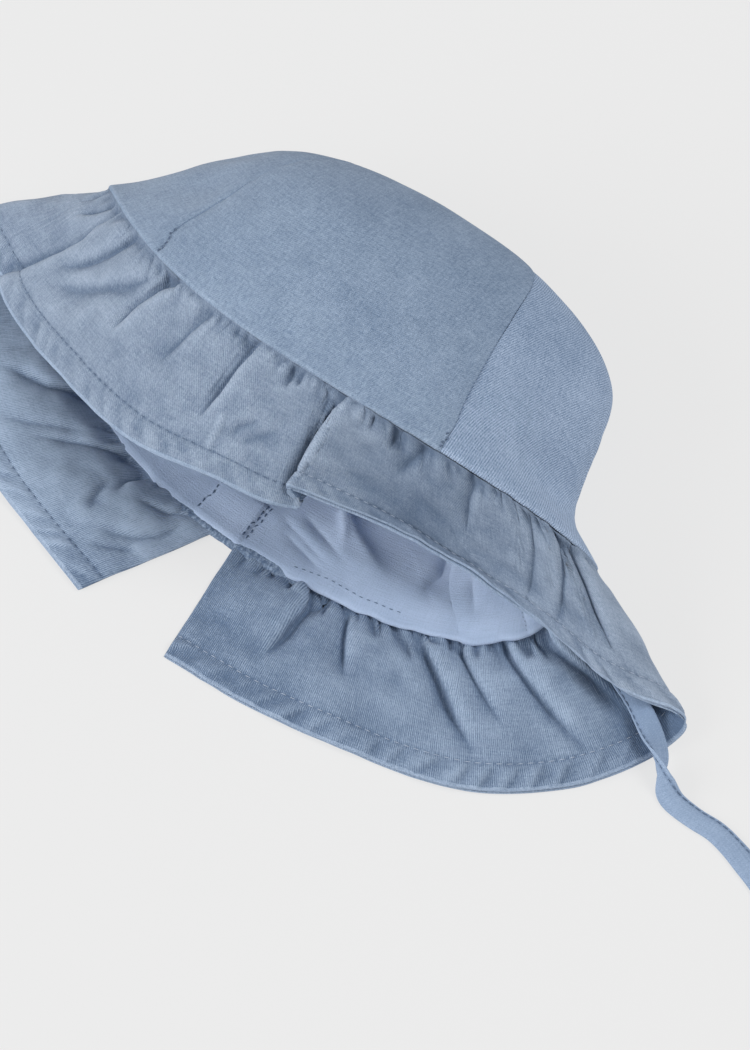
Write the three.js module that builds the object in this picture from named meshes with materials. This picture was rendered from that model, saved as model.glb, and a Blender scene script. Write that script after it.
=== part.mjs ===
// Baby bucket hat with a gathered ruffle brim, lying on its back with the front panel up.
// Millimetres, +Z up. +Y runs from the opening to the top of the crown, +X is the hat's right side.
// The origin is on the flat of the back panel, where the hat rests.
import * as THREE from 'three';

// Driving dimensions
const CROWN_WALL = 1.2;
const LINING_WALL = 1.0;
const RUFFLE_WALL = 1.6;
const TIE_WALL = 1.2;
const TIE_WIDTH = 7.5;
const SEAM_GAP = 0.3;
const RUFFLE_START_GAP = 1.4;

// The outer cloth's panels as shares of the way round, from the back centre by the right side.
const FRONT_SHARE = 0.232;
const PANEL_ROLL = 0.009;
const SIDE_SHARE = (1 - FRONT_SHARE) / 3;
const RUFFLE_SPLIT = 0.006;
const FRONT_RIGHT_SEAM = 0.5 - FRONT_SHARE / 2 + PANEL_ROLL;
const FRONT_LEFT_SEAM = FRONT_RIGHT_SEAM + FRONT_SHARE;
const PANEL_SEAMS = [
  FRONT_RIGHT_SEAM - SIDE_SHARE,
  FRONT_RIGHT_SEAM,
  FRONT_LEFT_SEAM,
  FRONT_LEFT_SEAM + SIDE_SHARE,
  FRONT_RIGHT_SEAM - SIDE_SHARE + 1,
];

// How square the crown's rings are, and how deep the lying cloth is pressed on the surface.
const RING_SIDE_POWER = 0.88;
const RING_TOP_POWER = 1.3;
const RING_BASE_POWER = 0.9;
const RING_FRONT_BLEND = 2.0;
const RING_BACK_BLEND_LEFT = 1.2;
const RING_BACK_BLEND_RIGHT = 0.85;
const RING_PRESS = 9;
const APEX_LIFT_POWER = 10;
const APEX_END = 0.99;

// Mesh density
const PANEL_STEPS_ROUND = 14;
const PANEL_STEPS_UP = 12;
const RUFFLE_STEPS_ROUND = 150;
const RUFFLE_STEPS_OUT = 7;
const RING_SAMPLES = 480;

function table(columns, rows) {
  return rows.map((row) => Object.fromEntries(columns.map((name, i) => [name, row[i]])));
}

// Rings of the crown from the brim seam (0) to the apex (1).
const CROWN_RINGS = table(
  ['along', 'leftX', 'rightX', 'sideZ', 'leftY', 'rightY', 'frontY', 'frontZ', 'backY'],
  [
    [0.00, -109, 103, 22, 17, -3, -20, 64, -53],
    [0.10, -101, 88, 22, 22, 6, -7, 68, -38],
    [0.25, -93, 81, 22, 31, 20, 12, 71, -17],
    [0.45, -84, 76, 22, 44, 37, 36, 68, 13],
    [0.65, -70, 66, 22, 56, 53, 55, 58, 39],
    [0.83, -44, 40, 22, 64, 62, 65, 41, 58],
    [1.00, -4, -4, 22, 68, 68, 68, 22, 68],
  ],
);
const CROWN_MID_X = -4;

// Soft dents in the upper cloth of the crown: place, reach each way and depth.
const CROWN_DENTS = table(
  ['around', 'along', 'reachRound', 'reachUp', 'depth'],
  [
    [0.655, 0.22, 0.030, 0.10, 2.5],
    [0.690, 0.45, 0.025, 0.10, 2.0],
    [0.300, 0.12, 0.030, 0.08, 2.0],
  ],
);

// The ruffle's hem round the hat, and how far the cloth between seam and hem hangs or rises.
const HEM = table(
  ['around', 'x', 'y', 'z', 'rise'],
  [
    [0.006, 6, -99, 0.8, 0],
    [0.06, 37, -97, 0.8, 2],
    [0.11, 71, -91, 0.8, 2],
    [0.16, 108, -80, 0.8, 2],
    [0.20, 134, -59, 0.8, 0],
    [0.235, 148, -35, 1.2, -4],
    [0.262, 150, -22, 5, -1],
    [0.30, 126, -28.5, 13, 0],
    [0.34, 96, -26.5, 18, -5],
    [0.38, 69.5, -27.5, 22, -9],
    [0.42, 46, -33.8, 31.7, -6],
    [0.444, 27, -42, 40.2, -2],
    [0.456, 16.2, -47.2, 44.2, 0],
    [0.466, 19.6, -47.4, 36.6, 0],
    [0.478, 13, -53.5, 40, 0],
    [0.50, -4.4, -56.6, 41, 0],
    [0.56, -35.4, -60, 37, 1],
    [0.62, -70, -51.5, 28, 2],
    [0.68, -107.5, -36.5, 16, 2],
    [0.73, -148, -13, 9, 3],
    [0.765, -156, -20, 1.2, -4],
    [0.81, -141, -44, 0.8, -2],
    [0.86, -112, -66, 0.8, 2],
    [0.91, -79, -82, 0.8, 2],
    [0.95, -54, -90, 0.8, 2],
    [0.994, -30, -97, 0.8, 0],
  ],
);

// Gathers: valleys that start at the brim seam and run towards the hem.
const FOLDS = table(
  ['atSeam', 'atHem', 'seamWidth', 'hemWidth', 'depth', 'reach'],
  [
    [0.062, 0.066, 3, 8, 2.5, 0.6],
    [0.090, 0.104, 3, 7, 3.0, 0.7],
    [0.137, 0.180, 4, 8, 2.5, 0.8],
    [0.190, 0.212, 4, 8, 3.0, 0.8],
    [0.218, 0.230, 4, 7, 2.5, 0.7],
    [0.272, 0.293, 4, 9, 2.5, 0.9],
    [0.322, 0.347, 4, 9, 3.0, 0.9],
    [0.398, 0.405, 3, 7, 2.0, 0.5],
    [0.458, 0.456, 4, 9, 4.0, 0.9],
    [0.524, 0.530, 4, 9, 3.5, 0.5],
    [0.585, 0.640, 4, 9, 3.0, 0.7],
    [0.640, 0.685, 4, 9, 2.5, 0.8],
    [0.685, 0.702, 4, 9, 3.0, 0.9],
    [0.845, 0.850, 4, 8, 2.5, 0.7],
    [0.900, 0.905, 4, 8, 2.5, 0.7],
    [0.945, 0.950, 4, 8, 2.5, 0.7],
  ],
);

// The right tie from its place in the seam, over the ruffle and along the surface. Turn is the
// angle of its width from level: the tie makes half a turn where it leaves the brim.
const TIE_RIGHT = table(
  ['x', 'y', 'z', 'turn'],
  [
    [104, -13.5, 19.2, 26],
    [110, -16, 15.9, 27],
    [118, -19.5, 11.5, 28],
    [126, -22.5, 8.5, 27],
    [134, -26, 6.8, 20],
    [142, -30.8, 6.0, 5],
    [148.5, -35.5, 5.8, -35],
    [152.6, -39.7, 5.2, -80],
    [156, -43, 3.9, -125],
    [161, -45.2, 2.0, -158],
    [169, -45.6, 0.9, -178],
    [177, -45.4, 0.8, -180],
    [184, -46.8, 0.8, -180],
    [192, -49.4, 0.8, -180],
    [199, -52.5, 0.8, -180],
  ],
);

// The left tie, plain, from the left side of the seam over the ruffle and along the surface.
const TIE_LEFT = table(
  ['x', 'y', 'z', 'turn'],
  [
    [-112, 2, 14.9, -35],
    [-119, 0, 12.8, -37],
    [-128, -4, 10.4, -41],
    [-137, -9, 7.7, -39],
    [-146, -15, 5.1, -25],
    [-154, -21, 3.4, -8],
    [-162, -26, 1.9, 0],
    [-170, -30, 1.0, 0],
    [-178, -35, 0.8, 0],
    [-186, -41, 0.8, 0],
    [-193, -47, 0.8, 0],
    [-199, -54, 0.8, 0],
  ],
);

// A smooth curve through the rows of a table, read at one value of its first column.
function smooth(rows, at) {
  const [key, ...columns] = Object.keys(rows[0]);
  const last = rows.length - 1;
  let i = 0;
  while (i < last - 1 && rows[i + 1][key] <= at) i += 1;
  const slope = (k, name) => {
    const before = rows[Math.max(k - 1, 0)];
    const after = rows[Math.min(k + 1, last)];
    return (after[name] - before[name]) / (after[key] - before[key]);
  };
  const step = rows[i + 1][key] - rows[i][key];
  const u = (at - rows[i][key]) / step;
  const value = {};
  for (const name of columns) {
    value[name] = rows[i][name] * (2 * u ** 3 - 3 * u ** 2 + 1)
      + slope(i, name) * step * (u ** 3 - 2 * u ** 2 + u)
      + rows[i + 1][name] * (3 * u ** 2 - 2 * u ** 3)
      + slope(i + 1, name) * step * (u ** 3 - u ** 2);
  }
  return value;
}

// One ring of the crown as points at equal angles, with the length run along each half.
const ringCache = new Map();
function ring(along) {
  if (ringCache.has(along)) return ringCache.get(along);
  const r = smooth(CROWN_RINGS, along);
  const rounding = along ** 3;
  const power = (value) => value + (1 - value) * rounding;
  const points = [];
  for (let i = 0; i <= RING_SAMPLES; i += 1) {
    const angle = (2 * Math.PI * i) / RING_SAMPLES;
    const side = Math.sin(angle);
    const lift = Math.abs(Math.cos(angle));
    const reach = side > 0 ? r.rightX - CROWN_MID_X : CROWN_MID_X - r.leftX;
    const x = CROWN_MID_X + reach * Math.sign(side) * Math.abs(side) ** power(RING_SIDE_POWER);
    const sideShare = 0.5 + 0.5 * Math.sign(side) * Math.sqrt(Math.abs(side));
    const sideY = r.leftY + (r.rightY - r.leftY) * sideShare;
    const press = (r.sideZ + RING_PRESS * (1 - along)) * (1 - along ** APEX_LIFT_POWER);
    if (Math.cos(angle) < 0) {
      const y = sideY + (r.frontY - sideY) * lift ** RING_FRONT_BLEND;
      const z = r.sideZ + (r.frontZ - r.sideZ) * lift ** power(RING_TOP_POWER);
      points.push(new THREE.Vector3(x, y, z));
    } else {
      const blend = side > 0 ? RING_BACK_BLEND_RIGHT : RING_BACK_BLEND_LEFT;
      const y = sideY + (r.backY - sideY) * lift ** blend;
      const z = Math.max(0, r.sideZ - press * lift ** power(RING_BASE_POWER));
      points.push(new THREE.Vector3(x, y, z));
    }
  }
  const half = RING_SAMPLES / 2;
  const runs = [0];
  for (let i = 1; i <= RING_SAMPLES; i += 1) {
    const start = i === half + 1 ? 0 : runs[i - 1];
    runs.push(start + points[i].distanceTo(points[i - 1]));
  }
  const made = { points, runs, half };
  ringCache.set(along, made);
  return made;
}

function dentDepth(around, along) {
  let depth = 0;
  for (const d of CROWN_DENTS) {
    const u = (around - d.around) / d.reachRound;
    const v = (along - d.along) / d.reachUp;
    depth += d.depth * Math.exp(-u * u - v * v);
  }
  return depth;
}

// A point on the plain form of the crown, by its share of the way round and up.
function crownForm(around, along) {
  const { points, runs, half } = ring(along);
  const share = around - Math.floor(around);
  const first = share < 0.5 ? 0 : half;
  const total = runs[first + half];
  const want = (share < 0.5 ? share : share - 0.5) * 2 * total;
  let low = first;
  let high = first + half;
  while (high - low > 1) {
    const mid = (low + high) >> 1;
    if (runs[mid] <= want) low = mid;
    else high = mid;
  }
  const startRun = low === first ? 0 : runs[low];
  const u = (want - startRun) / (runs[high] - startRun);
  return points[low].clone().lerp(points[high], u);
}

// Steps round, up and out for the normals.
const NORMAL_STEP = 0.004;
const OUT_STEP = 0.02;
function crownNormal(around, along) {
  const low = Math.max(0, along - NORMAL_STEP);
  const high = Math.min(1, along + NORMAL_STEP);
  const across = crownForm(around + NORMAL_STEP, along).sub(crownForm(around - NORMAL_STEP, along));
  const up = crownForm(around, high).sub(crownForm(around, low));
  return up.cross(across).normalize();
}

// A point of the crown's cloth, at a depth under its outer face.
function crownPoint(around, along, depth) {
  const point = crownForm(around, along);
  const inward = depth + dentDepth(around, along);
  point.addScaledVector(crownNormal(around, along), -inward);
  point.z = Math.max(point.z, depth);
  return point;
}

// Where the ruffle leaves the seam: mid-wall, just clear of the crown's edge.
function ruffleStart(around) {
  const point = crownForm(around, 0);
  const up = crownForm(around, NORMAL_STEP).sub(point).normalize();
  point.addScaledVector(crownNormal(around, 0), -RUFFLE_WALL / 2);
  point.addScaledVector(up, -RUFFLE_START_GAP);
  return point;
}

function ruffleForm(around, out) {
  const start = ruffleStart(around);
  const hem = smooth(HEM, around);
  const point = start.lerp(new THREE.Vector3(hem.x, hem.y, hem.z), out);
  point.z += hem.rise * 4 * out * (1 - out);
  return point;
}

function ruffleNormal(around, out) {
  const a = Math.max(RUFFLE_SPLIT, around - NORMAL_STEP);
  const b = Math.min(1 - RUFFLE_SPLIT, around + NORMAL_STEP);
  const low = Math.max(0, out - OUT_STEP);
  const high = Math.min(1, out + OUT_STEP);
  const across = ruffleForm(b, out).sub(ruffleForm(a, out));
  const outward = ruffleForm(around, high).sub(ruffleForm(around, low));
  return across.cross(outward).normalize();
}

// Which face of the ruffle is up: the outer face in front, the inner face at the back.
const TURN_RIGHT = 0.25;
const TURN_LEFT = 0.75;
const TURN_REACH = 0.02;
function upperFace(around) {
  const right = THREE.MathUtils.clamp((around - TURN_RIGHT) / TURN_REACH, -1, 1);
  const left = THREE.MathUtils.clamp((TURN_LEFT - around) / TURN_REACH, -1, 1);
  return Math.min(right, left);
}

// The ruffle's own length round the hat, for the folds' widths, and how they start and fade.
const RUFFLE_ROUND = 600;
const FOLD_START = 0.15;
const FOLD_FADE = 0.3;
function foldDepth(around, out) {
  let depth = 0;
  for (const f of FOLDS) {
    const centre = f.atSeam + (f.atHem - f.atSeam) * out;
    const width = f.seamWidth + (f.hemWidth - f.seamWidth) * out;
    const u = ((around - centre) * RUFFLE_ROUND) / width;
    const start = THREE.MathUtils.smoothstep(out, 0, FOLD_START);
    const fade = 1 - THREE.MathUtils.smoothstep(out, f.reach - FOLD_FADE, f.reach);
    depth += f.depth * Math.exp(-u * u) * start * fade;
  }
  return depth;
}

function rufflePoint(around, out) {
  const point = ruffleForm(around, out);
  const depth = foldDepth(around, out) * upperFace(around);
  point.addScaledVector(ruffleNormal(around, out), -depth);
  point.z = Math.max(point.z, RUFFLE_WALL / 2);
  return point;
}

// A closed wall from two grids of points of equal size. The first grid is the face whose rows lie
// to the left of its columns, seen from outside.
function wallGeometry(near, far) {
  const rows = near.length;
  const columns = near[0].length;
  const positions = [...near.flat(), ...far.flat()].flatMap((p) => [p.x, p.y, p.z]);
  const size = rows * columns;
  const faces = [];
  const quad = (a, b, c, d) => faces.push(a, b, c, a, c, d);
  const at = (r, c) => r * columns + c;
  for (let r = 0; r + 1 < rows; r += 1) {
    for (let c = 0; c + 1 < columns; c += 1) {
      quad(at(r, c), at(r, c + 1), at(r + 1, c + 1), at(r + 1, c));
      quad(size + at(r, c), size + at(r + 1, c), size + at(r + 1, c + 1), size + at(r, c + 1));
    }
    const end = columns - 1;
    quad(at(r, 0), at(r + 1, 0), size + at(r + 1, 0), size + at(r, 0));
    quad(at(r, end), size + at(r, end), size + at(r + 1, end), at(r + 1, end));
  }
  for (let c = 0; c + 1 < columns; c += 1) {
    const end = rows - 1;
    quad(at(0, c), size + at(0, c), size + at(0, c + 1), at(0, c + 1));
    quad(at(end, c), at(end, c + 1), size + at(end, c + 1), size + at(end, c));
  }
  return solidGeometry(positions, faces);
}

function solidGeometry(positions, faces) {
  const geometry = new THREE.BufferGeometry();
  geometry.setAttribute('position', new THREE.Float32BufferAttribute(positions, 3));
  geometry.setIndex(faces);
  geometry.computeVertexNormals();
  return geometry;
}

function steps(from, to, count) {
  return Array.from({ length: count + 1 }, (_, i) => from + ((to - from) * i) / count);
}

// One crown panel between two seams, kept half a seam gap clear of its neighbours.
function panelGeometry(fromSeam, toSeam) {
  const rows = steps(0, APEX_END, PANEL_STEPS_UP);
  const faceAt = (depth) => rows.map((along) => {
    const { runs, half } = ring(along);
    const clear = SEAM_GAP / 2 / (runs[half] + runs[2 * half]);
    const stops = steps(fromSeam + clear, toSeam - clear, PANEL_STEPS_ROUND);
    return stops.map((around) => crownPoint(around, along, depth));
  });
  return wallGeometry(faceAt(CROWN_WALL), faceAt(0));
}

// The lining: a closed dome inside the crown.
function liningGeometry() {
  const rows = steps(0, APEX_END, PANEL_STEPS_UP);
  const stops = PANEL_SEAMS.slice(0, -1).flatMap((seam, i) => (
    steps(seam, PANEL_SEAMS[i + 1], PANEL_STEPS_ROUND).slice(0, -1)
  ));
  const outerDepth = CROWN_WALL + SEAM_GAP;
  const count = stops.length;
  const positions = [];
  for (const depth of [outerDepth + LINING_WALL, outerDepth]) {
    for (const along of rows) {
      for (const around of stops) positions.push(...crownPoint(around, along, depth).toArray());
    }
    const apex = CROWN_RINGS.at(-1);
    positions.push(CROWN_MID_X, apex.frontY - depth, apex.frontZ);
  }
  const layer = rows.length * count + 1;
  const at = (face, r, c) => face * layer + r * count + (c % count);
  const apexOf = (face) => face * layer + rows.length * count;
  const faces = [];
  const quad = (a, b, c, d) => faces.push(a, b, c, a, c, d);
  for (let c = 0; c < count; c += 1) {
    for (let r = 0; r + 1 < rows.length; r += 1) {
      quad(at(0, r, c), at(0, r, c + 1), at(0, r + 1, c + 1), at(0, r + 1, c));
      quad(at(1, r, c), at(1, r + 1, c), at(1, r + 1, c + 1), at(1, r, c + 1));
    }
    const top = rows.length - 1;
    faces.push(at(0, top, c), at(0, top, c + 1), apexOf(0));
    faces.push(at(1, top, c), apexOf(1), at(1, top, c + 1));
    quad(at(0, 0, c), at(1, 0, c), at(1, 0, c + 1), at(0, 0, c + 1));
  }
  return solidGeometry(positions, faces);
}

// The ruffle: one gathered strip, its wall set half to each side of its middle surface.
function ruffleGeometry() {
  const rows = steps(0, 1, RUFFLE_STEPS_OUT);
  const stops = steps(RUFFLE_SPLIT, 1 - RUFFLE_SPLIT, RUFFLE_STEPS_ROUND);
  const middle = rows.map((out) => stops.map((around) => rufflePoint(around, out)));
  const normals = middle.map((row, r) => row.map((_, c) => {
    const left = row[Math.max(c - 1, 0)];
    const right = row[Math.min(c + 1, row.length - 1)];
    const near = middle[Math.max(r - 1, 0)][c];
    const far = middle[Math.min(r + 1, rows.length - 1)][c];
    return right.clone().sub(left).cross(far.clone().sub(near)).normalize();
  }));
  const faceAt = (offset) => middle.map((row, r) => row.map((point, c) => {
    const moved = point.clone().addScaledVector(normals[r][c], offset);
    moved.z = Math.max(moved.z, 0);
    return moved;
  }));
  return wallGeometry(faceAt(RUFFLE_WALL / 2), faceAt(-RUFFLE_WALL / 2));
}

// A flat tie along its route, four corners at each row.
function tieGeometry(route) {
  const points = route.map((row) => new THREE.Vector3(row.x, row.y, row.z));
  const corner = (i, side, face) => {
    const next = points[Math.min(i + 1, points.length - 1)];
    const last = points[Math.max(i - 1, 0)];
    const along = next.clone().sub(last).normalize();
    const level = new THREE.Vector3(-along.y, along.x, 0).normalize();
    const across = level.applyAxisAngle(along, THREE.MathUtils.degToRad(route[i].turn));
    const up = along.clone().cross(across);
    const point = points[i].clone().addScaledVector(across, (side * TIE_WIDTH) / 2);
    point.addScaledVector(up, (face * TIE_WALL) / 2);
    point.z = Math.max(point.z, 0);
    return point;
  };
  const faceAt = (face) => [1, -1].map((side) => points.map((_, i) => corner(i, side, face)));
  return wallGeometry(faceAt(-1), faceAt(1));
}

function cloth(colour, roughness) {
  return new THREE.MeshStandardMaterial({ color: colour, roughness, metalness: 0 });
}

const OUTER_BLUE = 0x8a9bb3;
const LINING_BLUE = 0x9db0c9;
const TIE_BLUE = 0x98a9c0;
const TWILL_ROUGHNESS = 0.9;
const PLAIN_ROUGHNESS = 0.85;

const hat = new THREE.Group();
function addPiece(name, geometry, colour, roughness) {
  const mesh = new THREE.Mesh(geometry, cloth(colour, roughness));
  mesh.name = name;
  hat.add(mesh);
}

const PANEL_NAMES = ['crown_right', 'crown_front', 'crown_left', 'crown_back'];
PANEL_NAMES.forEach((name, i) => {
  addPiece(name, panelGeometry(PANEL_SEAMS[i], PANEL_SEAMS[i + 1]), OUTER_BLUE, TWILL_ROUGHNESS);
});
addPiece('lining', liningGeometry(), LINING_BLUE, PLAIN_ROUGHNESS);
addPiece('brim_ruffle', ruffleGeometry(), OUTER_BLUE, TWILL_ROUGHNESS);
addPiece('tie_right', tieGeometry(TIE_RIGHT), TIE_BLUE, PLAIN_ROUGHNESS);
addPiece('tie_left', tieGeometry(TIE_LEFT), TIE_BLUE, PLAIN_ROUGHNESS);

export default hat;
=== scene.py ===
# %% [markdown]
# # A baby bucket hat, lying on its back
#
# The hat is sewn from soft light-blue twill: four crown panels, a paler lining, a gathered
# ruffle for a brim and two flat ties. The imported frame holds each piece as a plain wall.
# This lesson lays fine cloth over that frame: every wall is made again as a dense sheet with
# its gathers, seams and stitches, in the same place and at the same size.

# %% Load the frame
import math
from functools import partial

import bpy
import numpy as np
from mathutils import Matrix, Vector


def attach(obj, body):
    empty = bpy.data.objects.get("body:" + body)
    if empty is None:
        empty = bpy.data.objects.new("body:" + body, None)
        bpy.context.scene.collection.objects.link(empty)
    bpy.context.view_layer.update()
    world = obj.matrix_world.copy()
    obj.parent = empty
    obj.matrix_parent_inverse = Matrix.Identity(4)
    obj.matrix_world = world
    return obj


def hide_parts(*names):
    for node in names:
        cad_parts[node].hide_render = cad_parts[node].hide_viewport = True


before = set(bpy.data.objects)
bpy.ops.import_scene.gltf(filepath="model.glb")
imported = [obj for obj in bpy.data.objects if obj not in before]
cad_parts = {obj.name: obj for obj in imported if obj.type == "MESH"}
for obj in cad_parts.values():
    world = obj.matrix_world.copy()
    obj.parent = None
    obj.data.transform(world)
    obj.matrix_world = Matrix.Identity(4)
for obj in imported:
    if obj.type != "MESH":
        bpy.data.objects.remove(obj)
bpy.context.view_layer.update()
bpy.ops.object.select_all(action="DESELECT")
MM = 0.001
print("frame nodes:", sorted(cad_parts))

# %% [markdown]
# ## Camera
#
# The picture looks down on the hat from its right front. A long lens from a metre away keeps
# the perspective weak, as in the photograph. The camera could be shifted to frame the hat,
# but aiming at the picture's middle gives the same frame and keeps the other views simple.

# %% Camera
PHOTO_HEIGHT = 1050
PIXEL_AT_TARGET = 0.00032
VIEW_DISTANCE = 1.0
VIEW_AZIMUTH = math.radians(37)
VIEW_ELEVATION = math.radians(60)
VIEW_TARGET = Vector((0.030, -0.0215, 0.0))
SENSOR_HEIGHT = 36.0

view_back = Vector((
    math.sin(VIEW_AZIMUTH) * math.cos(VIEW_ELEVATION),
    -math.cos(VIEW_AZIMUTH) * math.cos(VIEW_ELEVATION),
    math.sin(VIEW_ELEVATION),
))
bpy.ops.object.camera_add(
    location=VIEW_TARGET + view_back * VIEW_DISTANCE,
    rotation=(math.pi / 2 - VIEW_ELEVATION, 0, VIEW_AZIMUTH),
)
camera = bpy.context.object
camera.data.sensor_fit = "VERTICAL"
camera.data.sensor_height = SENSOR_HEIGHT
camera.data.lens = SENSOR_HEIGHT * VIEW_DISTANCE / PIXEL_AT_TARGET / PHOTO_HEIGHT
bpy.context.scene.camera = camera
print("camera lens in mm:", round(camera.data.lens, 1))

# %% [markdown]
# ## Floor and light
#
# The photograph has an even pale ground and very soft light. Three large sheets of light stand to
# the left, the right and the front of the picture, and a bright sky fills the rest. The ground
# glows a little by itself, which keeps its shadows as faint as the photograph's.

# %% Floor and light
FLOOR_SIZE = 6.0
FLOOR_GREY = 0.16
FLOOR_GLOW = 0.67
SKY_STRENGTH = 0.40
LIGHT_SIZE = 1.1
LIGHT_AWAY = 1.45
LIGHTS = {"left": (-172, 0.75, 13.2), "right": (0, 1.9, 27.0), "front": (-150, 0.45, 6.5)}

bpy.ops.mesh.primitive_plane_add(size=FLOOR_SIZE, location=(0, 0, 0))
floor = bpy.context.object
floor.name = "floor"

for side, (degrees, height, energy) in LIGHTS.items():
    turn = VIEW_AZIMUTH + math.radians(degrees)
    away = Vector((math.cos(turn) * LIGHT_AWAY, math.sin(turn) * LIGHT_AWAY, height))
    bpy.ops.object.light_add(type="AREA", location=VIEW_TARGET + away)
    light = bpy.context.object
    light.name = side + "_light"
    light.data.size = LIGHT_SIZE
    light.data.energy = energy
    light.rotation_euler = (-away).to_track_quat("-Z", "Y").to_euler()

world = bpy.data.worlds.new("sky")
bpy.context.scene.world = world
world.use_nodes = True
sky = world.node_tree.nodes["Background"]
sky.inputs["Color"].default_value = (1.0, 1.0, 1.0, 1)
sky.inputs["Strength"].default_value = SKY_STRENGTH
bpy.context.scene.view_settings.view_transform = "Standard"
print("lights:", sorted(LIGHTS))

# %% [markdown]
# ## Cloth finishes
#
# Twill shows fine slanted lines, small slubs in its yarn and a cloudy, washed colour. All three
# follow the cut cloth, so they read each piece's own UV map, which holds the flat pattern in
# decimetres. Each sheet also carries a wear_and_shade attribute: painted light on its ridges and
# edges and painted shade in its creases and hollows, with a little washed wear. A picture texture
# could show all this, but nodes stay sharp at any size. The small class below lets the maths of a
# finish be written as Python expressions.

# %% Shader maths
class Shade:
    """A value in a material's nodes. Operators add Math nodes, and make adds any other node."""

    def __init__(self, tree, socket=None):
        self.tree = tree
        self.socket = socket

    def make(self, kind, settings, values, output=0):
        node = self.tree.nodes.new("ShaderNode" + kind)
        for name, setting in settings.items():
            setattr(node, name, setting)
        for name, value in values.items():
            if isinstance(value, Shade):
                self.tree.links.new(value.socket, node.inputs[name])
            else:
                node.inputs[name].default_value = value
        return Shade(self.tree, node.outputs[output])

    def maths(self, operation, *values):
        return self.make("Math", {"operation": operation}, dict(enumerate(values)))

    def __add__(self, other):
        return self.maths("ADD", self, other)

    __radd__ = __add__

    def __mul__(self, other):
        return self.maths("MULTIPLY", self, other)

    __rmul__ = __mul__

    def __sub__(self, other):
        return self.maths("SUBTRACT", self, other)

    def __rsub__(self, other):
        return self.maths("SUBTRACT", other, self)

    def wave(self):
        return self.maths("SINE", self)

    def blend(self, low, high):
        settings = {"data_type": "RGBA"}
        return self.make("Mix", settings, {0: self, 6: low, 7: high}, output=2)


print("shader maths ready")

# %% Finish helpers
UV_DECIMETRE_IN_MM = 100.0
CLOTH_SPECULAR = 0.2
BUMP_DISTANCE = 0.4


def new_finish(name, roughness, sheen, specular=CLOTH_SPECULAR):
    material = bpy.data.materials.new(name)
    material.use_nodes = True
    shader = material.node_tree.nodes["Principled BSDF"]
    shader.inputs["Roughness"].default_value = roughness
    shader.inputs["Specular IOR Level"].default_value = specular
    shader.inputs["Sheen Weight"].default_value = sheen
    shader.inputs["Sheen Roughness"].default_value = 0.5
    return material, shader, Shade(material.node_tree)


def flat_place(start):
    """The place on the flat cut cloth, along and across, in millimetres."""
    uv = start.make("UVMap", {}, {})
    along, across = (start.make("SeparateXYZ", {}, {0: uv}, output=axis) for axis in (0, 1))
    return along * UV_DECIMETRE_IN_MM, across * UV_DECIMETRE_IN_MM


def wear_and_shade_share(start):
    """The sheet's wear_and_shade attribute: high where ridges and edges are painted paler, low where
    creases and hollows are painted darker.
    """
    return start.make("Attribute", {"attribute_name": "wear_and_shade"}, {}, output=2)


def grain(along, across, along_size, across_size, detail=2.0):
    """Cloudy noise from 0 to 1 whose spots have these sizes in millimetres."""
    sizes = {0: along * (1 / along_size), 1: across * (1 / across_size)}
    place = along.make("CombineXYZ", {}, sizes)
    values = {"Vector": place, "Scale": 1.0, "Detail": detail, "Roughness": 0.6}
    return along.make("TexNoise", {"noise_dimensions": "2D"}, values)


def finish_cloth(shader, start, tint, colours, height, strength):
    link = start.tree.links.new
    link(tint.blend(*colours).socket, shader.inputs["Base Color"])
    values = {"Height": height, "Strength": strength, "Distance": BUMP_DISTANCE * MM}
    link(start.make("Bump", {}, values).socket, shader.inputs["Normal"])


print("finish helpers ready")

# %% Twill, lining and thread
THREAD_PITCH = 0.66
FULL_TURN = 2 * math.pi


def twill(name, dark, pale, slope, lines, speckle, bump):
    """Twill whose lines lean by this slope, with as much line, speckle and bump as these say."""
    material, shader, start = new_finish(name, roughness=0.92, sheen=0.12)
    along, across = flat_place(start)
    noise = partial(grain, along, across)
    bend = noise(7.0, 7.0) * 2.6
    pitch = THREAD_PITCH * math.hypot(1, slope)
    line = ((along + across * slope) * (FULL_TURN / pitch) + bend).wave()
    breaks = noise(1.6, 2.4)
    yarn = noise(0.40, 0.55)
    mottle = noise(1.1, 1.3) - 0.5
    slub = noise(8.0, 0.7)
    cross_slub = noise(0.7, 6.0)
    cloud = noise(22.0, 22.0, detail=3.0)
    broken_line = line * (breaks * 0.62 - 0.16) * lines
    weave = broken_line + yarn * (0.7 + 0.3 * speckle) + slub * 0.4 + cross_slub * 0.4
    # The tint takes the sheet's painted light and shade, and some wear, from its attribute.
    tint = weave + mottle * speckle + cloud * 0.4 + wear_and_shade_share(start) * 0.3 - 0.6
    height = line * (0.5 * lines) + yarn + slub * 0.6
    finish_cloth(shader, start, tint, (dark, pale), height, strength=bump)
    return material


def plain_weave(name, dark, pale):
    material, shader, start = new_finish(name, roughness=0.88, sheen=0.1)
    along, across = flat_place(start)
    noise = partial(grain, along, across)
    yarn = noise(0.45, 0.45)
    slubs = noise(10.0, 0.5) + noise(0.5, 8.0)
    cloud = noise(14.0, 14.0)
    turns = FULL_TURN / THREAD_PITCH
    threads = (along * turns).wave() * (across * turns).wave() * noise(9.0, 9.0)
    weave = threads * 0.04 + yarn * 0.28 + slubs * 0.2
    # The tint takes the sheet's painted light and shade, and some wear, from its attribute.
    tint = weave + cloud * 0.25 + wear_and_shade_share(start) * 0.26 - 0.17
    height = threads * 0.1 + yarn * 0.8 + slubs * 0.6
    finish_cloth(shader, start, tint, (dark, pale), height, strength=0.45)
    return material


def sewing_thread(name, colour):
    material, shader, _ = new_finish(name, roughness=0.7, sheen=0.2)
    shader.inputs["Base Color"].default_value = colour
    return material


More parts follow.
